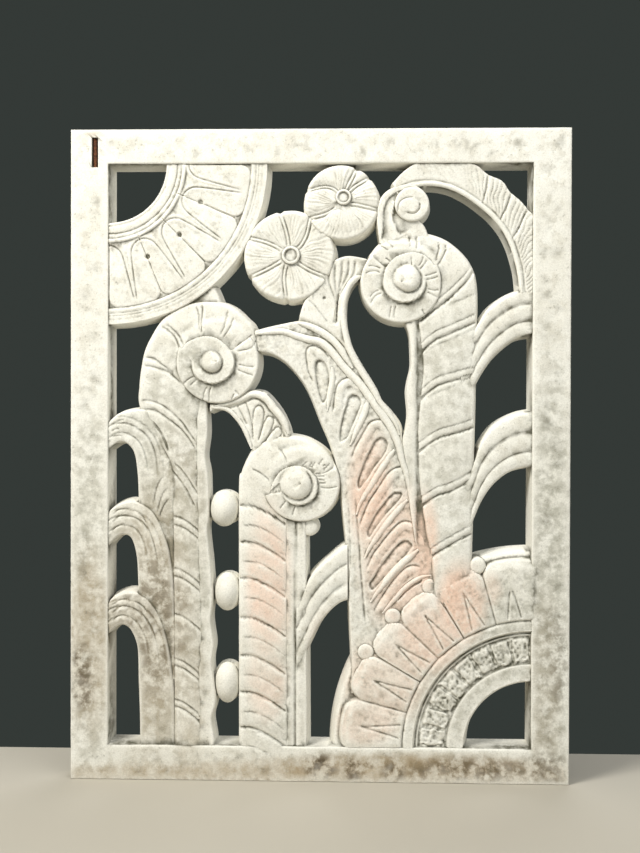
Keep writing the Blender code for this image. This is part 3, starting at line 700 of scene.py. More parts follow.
def build_flowers():
    """The two flowers, and the tongue-shaped petal that stands out of the higher one."""
    build_flower("round_flower", (291, 255), 45.3,
                 ((39, 61), (94, 102), (144, 156), (213, 209), (252, 266), (-39, -30)), (292.5, 254.5), 9.2,
                 1.4, 70)
    build_flower("high_flower", (343.5, 202), 37.4, ((108, 161), (70, 66), (58, 42), (-8, -11), (222, 206)),
                 (345.2, 196.6), 7.9, 2.4, 80)
    tongue = Carving(np.array((346.5, 222.0)) + rosette_grid((0, 0), 1.0, 18, 90) * (22.5, 15.5), 0.0)
    away = np.hypot((tongue.points[..., 0] - 346.5) / 22.5, (tongue.points[..., 1] - 222) / 15.5)
    tongue.height = -4.5 + 6.4 * np.sqrt(np.clip(1 - away ** 2.6, 0, 1))
    angle = polar_of(tongue.points, (345, 196))[1]
    tongue.height += 0.2 * np.sin(np.radians(angle + 2 * uneven(tongue.points / 8, 85)) * 52)
    solid("high_flower_tongue", tongue, closed=True, draft=0.5)


# ---------------------------------------------------------------- scrolls and stems

def swell(carving, slope, knots, amount, pivot):
    """Let a stem bulge between its bands; slope tilts the bands and knots are their heights at the pivot."""
    level = carving.points[..., 1] + slope * (carving.points[..., 0] - pivot)
    phase = np.interp(level, knots, np.arange(len(knots)))
    carving.height += amount * np.sqrt(np.abs(np.sin(np.pi * phase)))
    return carving


def cut_lines(carving, paths, width=1.25, depth=1.4):
    """Short lines cut across a ring or hood."""
    for path in paths:
        carving.line(path, width, depth, 0.15)


RIGHT_BANDS = (
    [(420, 322), (433, 311), (450, 298), (468, 280), (476, 268)],
    [(422, 352), (430, 344), (440, 337), (450, 333), (464, 327), (479, 320)],
    [(421, 399), (430, 391), (440, 384), (450, 381), (464, 377), (479, 373)],
    [(419, 452), (429, 444), (440, 437), (450, 434), (464, 430), (478, 425)],
    [(420, 507), (430, 500), (440, 494), (450, 491), (464, 484), (477, 476)],
    [(428, 560), (440, 551), (450, 545), (462, 538), (475, 532)])
RIGHT_LOOP = ((437, 265), (430.5, 257.5), (424, 253), (415, 251), (405, 252.5), (396, 256.5), (389, 264),
              (385.3, 274), (384.3, 284), (387, 292), (393.5, 298.5), (403, 302), (414, 300.5),
              (422.5, 294.5), (426.8, 286), (426.3, 275))
RIGHT_TICKS = (
    [(382, 245), (386, 247), (390, 250)], [(388, 240.5), (391, 243), (395, 247)],
    [(369, 265), (376, 265.3), (383, 268)], [(366.5, 273), (371, 270.8), (378, 270.3), (382.5, 272.5)],
    [(384, 292), (378, 294.5), (374, 299), (371.5, 304)],
    [(381, 289), (375, 292), (371, 297)], [(397.8, 304), (396, 310), (395.5, 318)],
    [(393, 304), (391.6, 311), (391, 318)],
    [(417, 232), (417.8, 240), (418.2, 249)], [(411.5, 234), (411, 240), (411, 247)],
    [(439, 240), (440, 248), (437.5, 257), (436, 262)],
    [(446.5, 241), (446.5, 250), (443, 258), (437.5, 265.5)],
    [(425.5, 275.2), (432, 273.7), (439, 271)], [(426.5, 278.8), (433, 278), (440, 275.3)],
    [(428.5, 288), (434, 289.4), (441, 289.2)], [(427.5, 291), (433, 293.5), (440, 296.7)],
    [(412.5, 256), (412.8, 261), (413, 266)], [(424.5, 255.5), (423, 261), (419.5, 266)],
    [(428.5, 259), (425, 264.5), (420.5, 269.5)], [(387, 257), (391, 260)], [(426, 314), (423, 308)])


def build_right_scroll():
    """The tallest stem, its wavy ribbon, and the hooded rosette with its inner turn and boss."""
    left = [(432, 606), (432, 560), (426, 530), (421, 490), (418.5, 440), (421, 400), (424, 370), (421, 336),
            (419, 318), (417, 303), (412, 290), (402, 281), (388, 273), (374, 266)]
    right = [(474, 606), (473, 557), (474, 520), (475, 460), (476.5, 400), (477.5, 340), (478.5, 300),
             (477.5, 281), (474, 268), (466, 255), (452, 242), (438, 235), (420, 231), (402, 231.5),
             (390, 235.5), (380, 243), (371, 254)]
    centre = (402.4, 281.8)
    stem = rail_part(left, right, 260, 40, -1.0, 4.0, 4.5, 5.0, 21)
    swell(stem, 0.43, (262, 316, 351, 399, 450, 506, 560, 612), 1.8, 421)
    level_hood(stem, centre, 40, RIGHT_LOOP, 1, 114, 1.9)
    for band in RIGHT_BANDS:
        stem.line(band, 2.0, 2.8, 0.06)
        stem.line([(x - 0.5, y - 8.5) for x, y in band], 1.4, 1.1, 0.08)
    cut_lines(stem, RIGHT_TICKS)
    solid("right_stem", stem)
    edge = [(400, 312), (406, 322), (410.5, 334), (412, 352), (412, 366), (409, 380), (407.5, 392),
            (409, 412), (407.5, 426), (404, 438), (405, 452), (409, 475), (411, 505), (420, 560),
            (428, 590)]
    strip = rail_part(edge, [(431, 306), (431, 400), (429, 480), (438, 590)], 120, 14, -2.0, 0.2, 2.2, 2.4,
                      22)
    strip.height -= 3.4 * step_up(strip.points[..., 0], 415.5, 419)
    strip.wobble(14, 0.6, 26)
    solid("right_ribbon", strip, draft=1.0)
    rosette("right_rosette", centre, 40.2, 1.9, RIGHT_LOOP, 1, 114, 110, 2.4, 3.4, ((409.5, 279), 12.4, 9.5),
            RIGHT_TICKS, 23)


LEFT_LONG_BANDS = (
    [(140, 399), (154, 400), (168, 407), (182, 420), (192, 434), (197, 442)],
    [(139, 408.5), (154, 408.5), (167, 416), (182, 428), (192, 441), (197, 450)],
    [(150, 419), (156, 424), (161, 430), (166, 440), (170, 452)],
    [(174, 461), (182, 468), (190, 479), (199, 494)], [(171, 469), (178, 475), (187, 488), (196, 506)])
LEFT_HOOD_BANDS = (
    [(161, 324), (169, 329), (176, 336), (181, 348)], [(167, 322.5), (175, 329), (181, 336), (184.5, 343)],
    [(142, 356.5), (154, 357), (164, 364), (176, 372.4)], [(142, 364), (156, 366), (169, 371), (183, 382.5)])
LEFT_SHORT_BANDS = (515, 523.5, 567, 575, 613, 658, 665, 699, 706)
LEFT_LOOP = ((183, 347), (188, 341), (195, 337.5), (202, 335), (210, 334.6), (218, 336.6), (225, 341),
             (231, 347), (235.5, 355), (236.5, 364), (233.5, 372), (228, 378), (220, 382), (212, 383),
             (204, 380.5), (198, 376.5), (194, 369), (193, 360))
LEFT_TICKS = (
    [(203.5, 302), (203.6, 312), (203.2, 322), (202.5, 333)],
    [(196.5, 304), (199.5, 312), (200.4, 322), (200.5, 331)],
    [(228.6, 309), (228, 317), (225.5, 326), (221.5, 335)],
    [(235, 315.5), (232.5, 324), (229, 331), (223.8, 337)],
    [(254.5, 332.5), (248, 338.5), (242, 342), (236, 347)],
    [(256.8, 339), (255, 344.8), (250, 348), (238, 350.5)],
    [(239, 363), (247, 365), (257, 366)], [(238, 368), (246, 371.5), (256, 374.8)],
    [(209, 385), (206, 390), (204.8, 396), (204, 402)], [(213, 385), (211, 390), (210.4, 396), (211, 402)],
    [(196, 375), (191, 377.5), (187, 380.5), (183.5, 384.5)], [(198.5, 378), (194.5, 381.5), (191.5, 385)],
    [(233, 399), (236, 392)], [(241, 394), (236.5, 389)])


def build_left_scroll():
    """The left stem with its wavy ribbon, and the hooded rosette with its dish and boss."""
    left = [(175, 770), (175, 690), (174.5, 600), (173.5, 520), (170, 470), (160, 440), (146, 420),
            (139, 402), (139.5, 385), (141, 370), (145, 350), (152, 335), (160, 322), (168, 314),
            (182, 305), (202, 300), (222, 301), (236, 307), (248, 318), (254, 324), (258, 335), (260, 348)]
    right = [(204, 770), (205, 690), (204, 600), (201.5, 500), (201, 430), (203, 405), (201, 394),
             (197, 384), (196, 373), (199, 362), (206, 356), (214, 354), (224, 356), (234, 358), (246, 358)]
    centre = (219, 361)
    stem = rail_part(left, right, 320, 40, -0.8, 3.5, 4.5, 5.0, 31)
    level_hood(stem, centre, 41, LEFT_LOOP, -1, 124, 1.3)
    for band in LEFT_LONG_BANDS + LEFT_HOOD_BANDS:
        stem.line(band, 1.7, 1.9, 0.1)
    for start in LEFT_SHORT_BANDS:
        stem.line([(174, start), (184, start + 3), (193, start + 9), (203, start + 18)], 1.6, 1.8, 0.05)
    cut_lines(stem, LEFT_TICKS)
    solid("left_stem", stem)
    inner = [(197, 770), (199, 690), (200, 600), (198.5, 520), (197.5, 430), (200, 396)]
    outer = [(216, 770), (216, 743), (213, 720), (217, 700), (213, 665), (215, 645), (212, 620), (214, 595),
             (212, 565), (208.5, 530), (210, 515), (209.5, 475), (206.5, 455), (209, 430), (207, 396)]
    strip = rail_part(inner, outer, 170, 12, -2.6, 0.0, 2.6, 2.2, 32)
    strip.wobble(11, 0.9, 36)
    solid("left_ribbon", strip, draft=0.8)
    stub = rail_part([(188, 318), (190, 300), (202, 289)], [(222, 318), (222, 301), (216, 286)], 24, 16,
                     -6.0, 0.5, 3.0, 3.0, 33)
    solid("left_stub", stub)
    rosette("left_rosette", centre, 41.3, 1.3, LEFT_LOOP, -1, 124, 110, 1.8, 3.4, ((213.8, 362), 9.8, 8.0),
            LEFT_TICKS, 34)


MIDDLE_BANDS = (505, 541.5, 578, 617.5, 655.5, 692.5, 728)
MIDDLE_LOOP = ((270, 493), (273, 484), (277, 475.5), (283, 469), (290, 465.5), (298, 464), (306, 465.5),
               (313, 470), (318, 477), (319.6, 486), (317.6, 494.5), (312, 500.5), (304, 504), (295, 503.6),
               (287.5, 499), (283, 491.5), (281, 483))
MIDDLE_TICKS = (
    [(280, 447), (284, 451), (287, 456), (289, 461)], [(253, 468), (260, 471), (266, 475), (272, 479.5)],
    [(271, 492.5), (277, 492), (283, 490)], [(281.5, 508), (284.5, 503.5), (287.5, 499.5)],
    [(294, 514.5), (295.5, 509), (297, 505)], [(321, 486), (330, 487.2), (341, 485)],
    [(308.5, 460.5), (304, 465)],
    [(314, 460.5), (310.5, 466.5)], [(317.5, 460), (313, 467)], [(332, 461.5), (328, 466), (324.5, 469.5)],
    [(317, 473), (323, 472)], [(319, 475.5), (327, 475)], [(320, 478.5), (327, 479.5)],
    [(321, 482), (328, 482)], [(327, 463), (324, 466)], [(325, 457), (320, 464)])


def build_middle_scroll():
    """The short stem, the strips down its right side, and its rosette."""
    left = [(240, 770), (240, 600), (240, 488), (242, 474), (248, 459), (256, 447), (268, 439), (284, 434.5),
            (303, 436.5), (316, 442), (327, 450), (335, 461), (340, 475), (341, 488)]
    right = [(291, 770), (289.5, 620), (289, 545), (288, 512), (285, 499), (284, 488), (289, 480),
             (298, 477), (308, 478), (318, 484)]
    centre = (303, 482.5)
    stem = rail_part(left, right, 250, 38, -0.8, 4.0, 4.5, 5.0, 41)
    knots = (436,) + MIDDLE_BANDS + (764,)
    swell(stem, -0.28, knots, 1.6, 243)
    level_hood(stem, centre, 34, MIDDLE_LOOP, -1, 176, 1.4)
    for start in MIDDLE_BANDS:
        stem.line([(239, start), (252, start - 0.5), (264, start + 4), (276, start + 11), (288, start + 20)],
                  2.0, 2.4, 0.05)
        stem.line([(241, start + 19), (258, start + 20), (274, start + 28), (286, start + 38)], 1.4, 0.8,
                  0.15)
    cut_lines(stem, MIDDLE_TICKS)
    solid("middle_stem", stem)
    strip = rail_part([(286, 770), (286, 500)], [(309, 770), (308, 560), (307.5, 520), (308, 500)], 130, 14,
                      -3.4, 0.4, 2.0, 2.2, 42)
    strip.line([(297, 770), (297, 500)], 1.4, 2.0, 0)
    solid("middle_strip", strip)
    rosette("middle_rosette", centre, 38.3, 1.4, MIDDLE_LOOP, -1, 176, 80, 1.6, 2.8, ((299, 484), 14.4, 8.0),
            MIDDLE_TICKS, 43)
    drop = disc_part((311, 527), 8.6, 8, 26, -4.0, 6.0, 5.0, 45)[0]
    solid("middle_drop", drop, closed=True, draft=1.5)


def build_small_scroll():
    """The little hook above the right scroll, wound round its own disc."""
    outer = [(384, 254), (381, 238), (378.5, 222), (378.8, 212), (380, 203), (383, 196), (388, 190.5),
             (394, 187), (400, 185), (407, 183.3), (413, 183.5), (419, 185.5), (425, 190)]
    inner = [(434, 254), (430, 236), (425, 224), (416, 217), (408, 211), (404, 204), (405, 198), (411, 195),
             (418, 196), (424, 199)]
    hook = rail_part(outer, inner, 120, 34, -2.2, 0.0, 2.0, 2.2, 48)
    hook.shelf([(381.5, 242), (383.5, 230), (384, 221), (384, 212), (385.5, 205), (388, 199), (392, 194.5),
                (398, 190.5), (404, 188.5), (410, 188), (417, 189)], 3.0, 12, (0.1, 0.1))
    hook.shelf([(401, 236), (397, 227), (394.5, 220), (393.5, 214), (394.5, 207), (396.5, 201),
                (401, 195.5)], 3.4, 16,
               (0.1, 0.2))
    hook.height -= 2.0 * step_up(hook.points[..., 0], 398, 408) * step_up(hook.points[..., 1], 214, 222)
    solid("small_hook", hook, draft=2.0)
    disc = disc_part((413.5, 203.6), 17.2, 26, 100, 1.4, 2.4, 3.0, 47)[0]
    near = [(415.5, 197), (410, 197), (405.5, 198.5), (402, 201), (400, 205), (399.3, 210), (400.3, 214),
            (402.5, 218)]
    core = [(420.3, 201.5), (421.3, 206), (419.5, 209.8), (416, 212.3), (412, 212.6), (407.5, 211.2)]
    disc.height += 0.9 * step_up(disc.inside_of(smooth(near[:5] + [(404, 211)] + core[::-1])), -0.8, 1.2)
    disc.line(near, 1.4, 1.5, 0.12)
    disc.line(core, 1.5, 2.2, 0.12)
    solid("small_disc", disc, closed=True, draft=2.0)


# ---------------------------------------------------------------- frond, straps, berries and leaves

def build_frond():
    """The feathered frond over the top right corner, with a round moulding along its inner edge."""
    inner = [(400, 196), (408, 189), (420, 185.5), (435, 185), (450, 188), (461, 193), (471, 199),
             (481, 206.5), (490, 214), (498, 223), (505, 233), (511, 246), (515, 259), (518, 272),
             (520, 292)]
    outer = [(394, 182), (404, 171.5), (414, 164), (426, 158), (440, 156), (455, 157), (468, 161),
             (479, 165), (489, 173.5), (503, 180), (511, 191), (521, 199.5), (529, 209), (538, 221),
             (546, 260), (546, 298)]
    frond = rail_part(inner, outer, 230, 44, -3.4, 0.0, 2.0, 2.5, 51)
    gap, share = reach(frond.points, smooth(inner))[:2]
    frond.height -= 1.0 * hump(gap - 5.8, 1.3)
    # The strokes lean forward as they run in from the scalloped edge to the moulding.
    lean = share * 175 + 1.05 * gap - 0.012 * gap ** 2
    phase = lean / 4.3 + 0.55 * uneven(frond.points / 11, 52)
    strokes = np.abs(np.sin(np.pi * phase)) ** 0.7 - 0.6
    strength = step_up(frond.points[..., 0], 468, 486) * 0.8 + 0.15
    frond.height += 1.1 * strokes * strength * step_up(gap, 5.5, 9.0)
    for tip, foot in (((489, 172.5), (483, 205)), ((512.2, 191.5), (500, 221)), ((528.5, 206), (512, 240))):
        frond.line([tip, ((tip[0] + foot[0]) / 2 + 1, (tip[1] + foot[1]) / 2), foot], 1.6, 2.6, 0.25)
    solid("frond", frond)
    rim = smooth(inner)
    ahead = np.gradient(rim, axis=0)
    outward = np.stack([ahead[:, 1], -ahead[:, 0]], axis=-1) / np.hypot(*ahead.T)[:, None]
    cord("frond_rim", (rim + 2.6 * outward)[6::8], 2.7, -2.3, 50, (0.03, 0.03))


STRAPS = {
    "right_strap_upper": (
        [(462, 348), (472, 333), (480, 321), (490, 307), (505, 296), (520, 289.5), (534, 288), (546, 286)],
        [(462, 412), (471, 396), (478, 380), (487, 365), (497, 352.5), (515, 338), (533, 334), (546, 333)],
        (0.30, 0.68)),
    "right_strap_lower": (
        [(462, 486), (470, 472), (476, 459), (482, 442), (495, 425), (515, 414), (533, 410), (546, 409)],
        [(462, 545), (470, 531), (476, 516), (483, 500), (495, 483), (512, 470.5), (532, 466), (546, 465)],
        (0.36, 0.72)),
    "middle_strap": (
        [(298, 604), (306, 588), (312, 576), (320, 567), (330, 558), (341, 548.5), (349, 543)],
        [(298, 672), (306, 655), (312, 642), (321, 624), (331, 611.5), (341, 603), (349, 600)],
        (0.34, 0.70)),
}

ARCHES = (
    ([(98, 436), (105, 426), (112, 418), (120, 412), (131, 409), (145, 408), (160, 412), (171, 422),
      (178, 440), (180, 475), (178, 520), (177, 580)],
     [(98, 462), (105, 452), (112, 446), (121, 441), (129, 444), (135, 453), (138, 473), (139, 500),
      (139, 540), (139, 580)]),
    ([(98, 526), (105, 516), (112, 508), (121, 502.5), (131, 500), (143, 503), (152, 509), (159, 519),
      (165, 533), (170, 550), (174, 580), (176, 620), (176, 680)],
     [(98, 562), (105, 552), (111, 543), (118, 536), (125, 534), (132, 538), (137, 555), (138.5, 580),
      (139, 620), (139, 680)]),
    ([(98, 618), (105, 608), (112, 598), (121, 593), (131, 591), (142, 594), (152, 602), (161, 618),
      (168, 640), (172, 665), (175, 700), (176, 770)],
     [(98, 652), (105, 642), (111, 632), (118, 626), (125, 625), (132, 631), (138, 648), (139, 680),
      (140, 720), (140, 770)]))


def build_straps():
    """Straps of three round ribs: two on the right, one by the leaf, and three arches on the left."""
    for k, (name, (upper, lower, lines)) in enumerate(STRAPS.items()):
        strap = rail_part(upper, lower, 80, 38, -3.4, 0.6, 3.0, 3.5, 53 + k)
        share = spread(38)[None, :]
        cuts = (0.0,) + lines + (1.0,)
        rib = np.interp(share, cuts, range(len(cuts)))
        strap.height += 2.6 * np.abs(np.sin(np.pi * rib)) ** 0.55 - 1.2
        strap.wobble(6, 0.4, 90 + k)
        solid(name, strap)
    for k, (outer, inner) in enumerate(ARCHES):
        arch = rail_part(outer, inner, 140, 34, -1.6, 1.0, 3.0, 3.5, 57 + k)
        gap, along = reach(arch.points, smooth(inner))[:2]
        arch.height -= 5.0 * step_up(along, 0.34, 0.95)
        for distance, depth in ((8.0, 0.9), (17.5, 1.2), (24.0, 0.6)):
            fade = step_up(0.5 - along, 0, 0.3)
            arch.height -= depth * fade * hump(gap - distance - 8 * along, 1.3)
        for rib in ARCH_RIBS[k]:
            arch.line(rib, 1.4, 1.1, 0.2)
        solid(f"left_arch_{k}", arch)


ARCH_RIBS = (
    ([(112, 423), (119, 420), (126, 418)], [(112, 430), (116, 428), (120, 427)],
     [(112, 436), (118, 434.5), (124, 435)],
     [(164.4, 474), (158, 486), (154, 503.4)], [(169, 485), (162, 497), (157.5, 512.6)],
     [(170, 497), (164, 506), (159.8, 517)]),
    ([(112, 514), (120, 509), (130, 507)], [(112, 522), (120, 516), (129, 514)],
     [(112, 531), (119, 525), (126, 522)], [(133, 509), (142, 514), (148, 523)]),
    ([(112, 605), (120, 600), (130, 598)], [(112, 613), (120, 607), (129, 605)],
     [(112, 621), (119, 616), (126, 614)], [(134, 600), (143, 605), (149, 614)]))
BERRIES = ((225, 508, 14.5, 18.5), (228, 592, 13, 19.5), (228, 684, 12.5, 20.5))


def berry_tree():
    """Stand a lumpy oval berry, as wide and as tall as it says, on each point."""
    tree, given, out = node_tree("berries", ("Rings", "Int", 26), ("Lumps", "Float", 0.0012),
                                 ("Seed", "Float", 0.0),
                                 ("Material", "Material", None))
    ball = add(tree, "GeometryNodeMeshUVSphere", ("Segments", 44), ("Rings", given["Rings"]),
               ("Radius", 1.0))
    wide = add(tree, "GeometryNodeInputNamedAttribute", ("Name", "wide")).outputs[0]
    tall = add(tree, "GeometryNodeInputNamedAttribute", ("Name", "tall")).outputs[0]
    deep = add(tree, "ShaderNodeMath", (0, wide), (1, 1.1), operation="MULTIPLY").outputs[0]
    size = add(tree, "ShaderNodeCombineXYZ", (0, wide), (1, deep), (2, tall)).outputs[0]
    stood = add(tree, "GeometryNodeInstanceOnPoints", ("Points", given["Geometry"]),
                ("Instance", ball.outputs[0]),
                ("Scale", size)).outputs[0]
    whole = add(tree, "GeometryNodeRealizeInstances", ("Geometry", stood)).outputs[0]
    lumps = add(tree, "ShaderNodeTexNoise", ("W", given["Seed"]), ("Scale", 45.0), ("Detail", 2.0),
                noise_dimensions="4D").outputs["Fac"]
    amount = add(tree, "ShaderNodeMath", (0, lumps), (1, 0.5), operation="SUBTRACT").outputs[0]
    amount = add(tree, "ShaderNodeMath", (0, amount), (1, given["Lumps"]), operation="MULTIPLY").outputs[0]
    push = add(tree, "ShaderNodeVectorMath", (0, add(tree, "GeometryNodeInputNormal").outputs[0]),
               ("Scale", amount),
               operation="SCALE").outputs[0]
    moved = add(tree, "GeometryNodeSetPosition", ("Geometry", whole), ("Offset", push)).outputs[0]
    done = add(tree, "GeometryNodeSetMaterial", ("Geometry", moved),
               ("Material", given["Material"])).outputs[0]
    tree.links.new(done, out["Geometry"])
    return tree


def build_berries():
    """Three upright oval berries between the left and middle stems, each on the web behind it."""
    rows = np.array(BERRIES)
    middle = upright(rows[:, :2], np.full(len(rows), -18.0))
    scale = SQUARE_MM * MM
    berries = line_object("berries", middle, wide=rows[:, 2] * scale, tall=rows[:, 3] * scale)
    SOLIDS["berries"] = grown(berries, berry_tree(), Seed=61.0)
    for k, (x, y, half_w, half_h) in enumerate(BERRIES):
        web = Carving(np.array((x, y)) + rosette_grid((0, 0), 1.0, 8, 40) * (half_w + 2.5, half_h - 1.0),
                      -20.0)
        solid(f"berry_web_{k}", web, closed=True, draft=0.8)


# Each finger of the leaf: the line round its arched top, and the hollow within it.
LOBES = (
    ([(315, 382), (310, 371), (308, 360), (307.5, 352), (309, 347), (312, 345), (317, 345), (323, 348),
      (328, 353), (331, 359)],
     [(316, 368), (317, 361), (320, 358.5), (325, 360), (329, 366), (331, 378), (329, 394), (324, 402),
      (319, 388)]),
    ([(334, 414), (335, 405), (336, 395), (338, 386), (341, 381), (346, 377.5), (351, 376.5), (357, 377.5),
      (362, 380.5), (366, 387), (365, 396)],
     [(354, 393), (350, 396), (348, 403), (345, 412), (342.5, 423), (341, 432), (342, 441), (349, 437),
      (352, 430), (356, 421), (360.5, 410), (363, 402), (360, 395)]),
    ([(352.5, 460), (355, 451), (358, 444), (362, 437), (367, 428), (372, 421), (380, 418.5), (385, 420),
      (390, 426), (393.5, 433), (392.5, 441)],
     [(381, 436), (376, 440), (372, 448), (368, 456), (365, 463), (362, 471), (359, 481), (361, 488),
      (370, 477), (376, 467), (383, 458), (388, 450), (389.5, 442), (386, 437)]),
    ([(359.5, 532), (362, 522), (366, 511), (371, 500), (377, 491), (383, 482), (389, 473), (395, 468),
      (402, 466), (406.5, 468), (409, 474), (409, 483), (406, 493)],
     [(396, 491), (390, 496), (384, 504), (378, 512), (373, 521), (368.5, 531), (371, 537), (378, 527),
      (387, 515), (395, 506), (402, 498), (403.5, 492)]),
    ([(367, 572), (371, 561), (375, 553), (381, 545), (387, 537), (393, 530), (400, 523), (406, 520.5),
      (413, 522), (417, 528), (417, 535)],
     [(410, 540), (404, 540), (398, 545), (391, 553), (386, 560), (380, 568), (375, 577), (370.5, 584),
      (374, 590), (384, 580), (393, 571), (402, 561), (410, 552), (414, 545)]),
    ([(374, 613), (379, 604), (384, 596), (389, 588), (395, 580), (402, 572), (408, 567), (415, 565),
      (424, 567)],
     [(415, 578), (408, 583), (402, 589), (396, 597), (400, 600), (407, 593), (416, 586), (423, 582),
      (422, 578)]))
LEAF_RIDGES = (
    ([(334, 366), (334, 380), (331, 396), (329, 410)], 3.4),
    ([(371, 396), (366, 412), (359, 428), (352, 444)], 4.4),
    ([(396, 449), (386, 463), (373, 484), (363, 500), (358, 514)], 4.2),
    ([(409, 499), (397, 512), (383, 530), (372, 546), (366, 558)], 4.2),
    ([(420, 549), (404, 563), (390, 578), (379, 592), (372, 602)], 4.0))


def build_leaf():
    """The big leaf: a hollowed body of fingers with a left-pointing tip, and a fluted hooked blade above."""
    left = [(353, 694), (353, 659), (351, 620), (349, 560), (345, 520), (341, 480), (333, 447), (322, 420),
            (312, 395), (303, 379), (290, 364), (276, 354), (262, 350.5), (252, 350)]
    right = [(446, 640), (438, 590), (428, 545), (415, 505), (408, 470), (404, 440), (401, 424), (392, 411),
             (382, 400), (377, 389), (370, 377), (363, 366), (356, 354), (349, 342), (338, 330), (322, 322),
             (302, 320), (284, 323), (266, 327), (252, 331)]
    body = rail_part(left, right, 380, 92, -5.4, 0.0, 3.0, 3.0, 62)
    for outline, hollow in LOBES:
        body.line(outline, 1.5, 2.2, 0.1)
        rim = smooth(outline)
        gap, share, side = reach(body.points, rim)[:3]
        ends = step_up(share, 0, 0.12) * step_up(1 - share, 0, 0.12)
        body.height += 1.3 * ends * np.where(side < 0, hump(gap - 5.0, 4.0), 0.0)
        into = body.inside_of(smooth(hollow + hollow[:1], 2.0)[:-1])
        body.height -= 3.4 * step_up(into, -0.7, 0.9) * (1 - 0.4 * step_up(into, 1.5, 6))
    body.line([(353, 680), (350, 600), (352, 560), (351, 520), (349, 492)], 1.4, 0.8)
    body.line([(357, 492), (358, 510), (360, 535), (361, 550), (363, 580), (366, 615), (368, 630)], 1.8, 2.0)
    body.wobble(4.5, 0.45, 66)
    body.wobble(2.2, 0.25, 67)
    solid("leaf_body", body)
    for k, (path, size) in enumerate(LEAF_RIDGES):
        cord(f"leaf_ridge_{k}", path, (size, size, 0.7 * size), (-3.2, -3.0, -4.0), 100 + k, (0.15, 0.3),
             1.2)
    cord("leaf_border", [(257, 333), (270, 331), (285, 330.5), (299, 335), (311, 338.5), (321, 340.5),
                         (329, 346), (336, 354), (343, 363), (350, 371), (358, 379), (366, 389), (373, 399),
                         (381, 410), (389, 421), (396, 434), (401, 447), (404, 459), (408, 472), (411, 487),
                         (412, 503)],
         (3.0, 4.2, 4.4, 4.4, 4.2, 3.6), (-2.6, -1.0, -0.8, -0.8, -1.4, -3.0), 106, (0.06, 0.1), 1.0)
    cord("leaf_roll", [(300, 322), (312, 325.5), (324, 331.5), (334, 339), (342, 348), (348, 358),
                       (354, 367)],
         (3.2, 4.2, 4.0, 3.2), (-2.4, -1.4, -1.6, -3.0), 107, (0.15, 0.25), 1.0)
    cord("leaf_hook", [(364, 275), (357, 277.5), (351, 284), (347, 293), (344.6, 305), (344.8, 319),
                       (346.8, 333), (350.5, 346), (356, 358), (363, 370), (370, 381), (376, 391),
                       (381, 401), (389, 411), (397, 423), (401, 434)],
         (3.4, 3.7, 3.7, 3.6, 3.2, 2.8), (-0.8, -0.6, -0.6, -1.2, -2.2, -3.4), 108, (0.05, 0.15), 0.8)
    cord("leaf_foot_rim", [(432, 575), (424, 576.5), (415, 581), (405, 589), (397, 598), (390, 606),
                           (384, 613)],
         2.6, -3.4, 109, (0.2, 0.3), 0.8)
    left = [(328, 352), (312, 344), (301, 336), (299.5, 326), (301.5, 314), (305, 302.5), (309, 296),
            (315, 288), (319, 279), (325, 269), (333, 261.5), (341, 257), (350, 255), (362, 256.5),
            (372, 259)]
    right = [(352, 352), (350, 343), (347.5, 332), (346, 320), (346, 308), (347, 298), (349, 292),
             (352, 286), (357, 280), (366, 275), (376, 272)]
    blade = rail_part(left, right, 130, 56, -3.0, 0.0, 2.5, 2.5, 63)
    for top in ((331, 266), (337, 262), (344, 258.5), (350.5, 257.5), (356.5, 258.5)):
        lean = (top[0] - 344) / 30
        blade.line([top, (top[0] - 1 - 2 * lean, top[1] + 16), (339.5 + 3 * lean, top[1] + 38),
                    (337 + 4 * lean, 325)], 1.9, 1.9, 0.08)
    blade.height += 0.9 * step_up(12 - np.abs(blade.points[..., 0] - 318), 0, 10)
    blade.line([(309, 298), (316, 304), (322, 312), (330, 322)], 1.5, 0.9)
    pit = np.hypot(blade.points[..., 0] - 326, blade.points[..., 1] - 297)
    blade.height -= 2.0 * step_up(2.4 - pit, 0, 1.6)
    seam = smooth([(292, 317), (304, 318), (311, 320.5), (322, 325), (331, 331), (338, 337), (346, 346),
                   (352, 356)])
    gap, share, side = reach(blade.points, seam)[:3]
    under = np.where(side < 0, gap, -gap)
    blade.height -= 11.0 * step_up(under, -2.0, 5.0)
    solid("leaf_blade", blade)
    top = [(211, 403), (222, 403.5), (233, 400), (245, 394), (256.5, 390), (266, 392), (274, 400),
           (282, 411), (289, 426), (293, 444)]
    bottom = [(211, 411), (220, 407.5), (229, 409), (238, 416), (245, 426), (249, 436), (252, 446),
              (258, 455), (270, 456), (290, 452)]
    shell = rail_part(top, bottom, 110, 40, -5.0, 0.0, 2.0, 2.5, 64)
    for rib in SHELL_RIBS:
        shell.line(rib, 1.5, 2.2, 0.08)
    gap = reach(shell.points, smooth(SHELL_RIM))[0]
    shell.height -= 2.0 * hump(gap - 4.8, 1.7)
    shell.wobble(4, 0.4, 65)
    solid("shell_leaf", shell)
    cord("shell_rim", SHELL_RIM, (2.0, 3.2, 4.0, 4.0, 3.6), (-3.6, -2.0, -1.4, -1.4, -2.0), 110, (0.1, 0.12),
         1.6)
    cord("shell_edge", [(214, 407), (223, 407), (231, 410), (239, 418), (245, 427), (249.5, 437),
                        (253, 448)],
         2.4, -3.0, 111, (0.15, 0.2), 0.8)


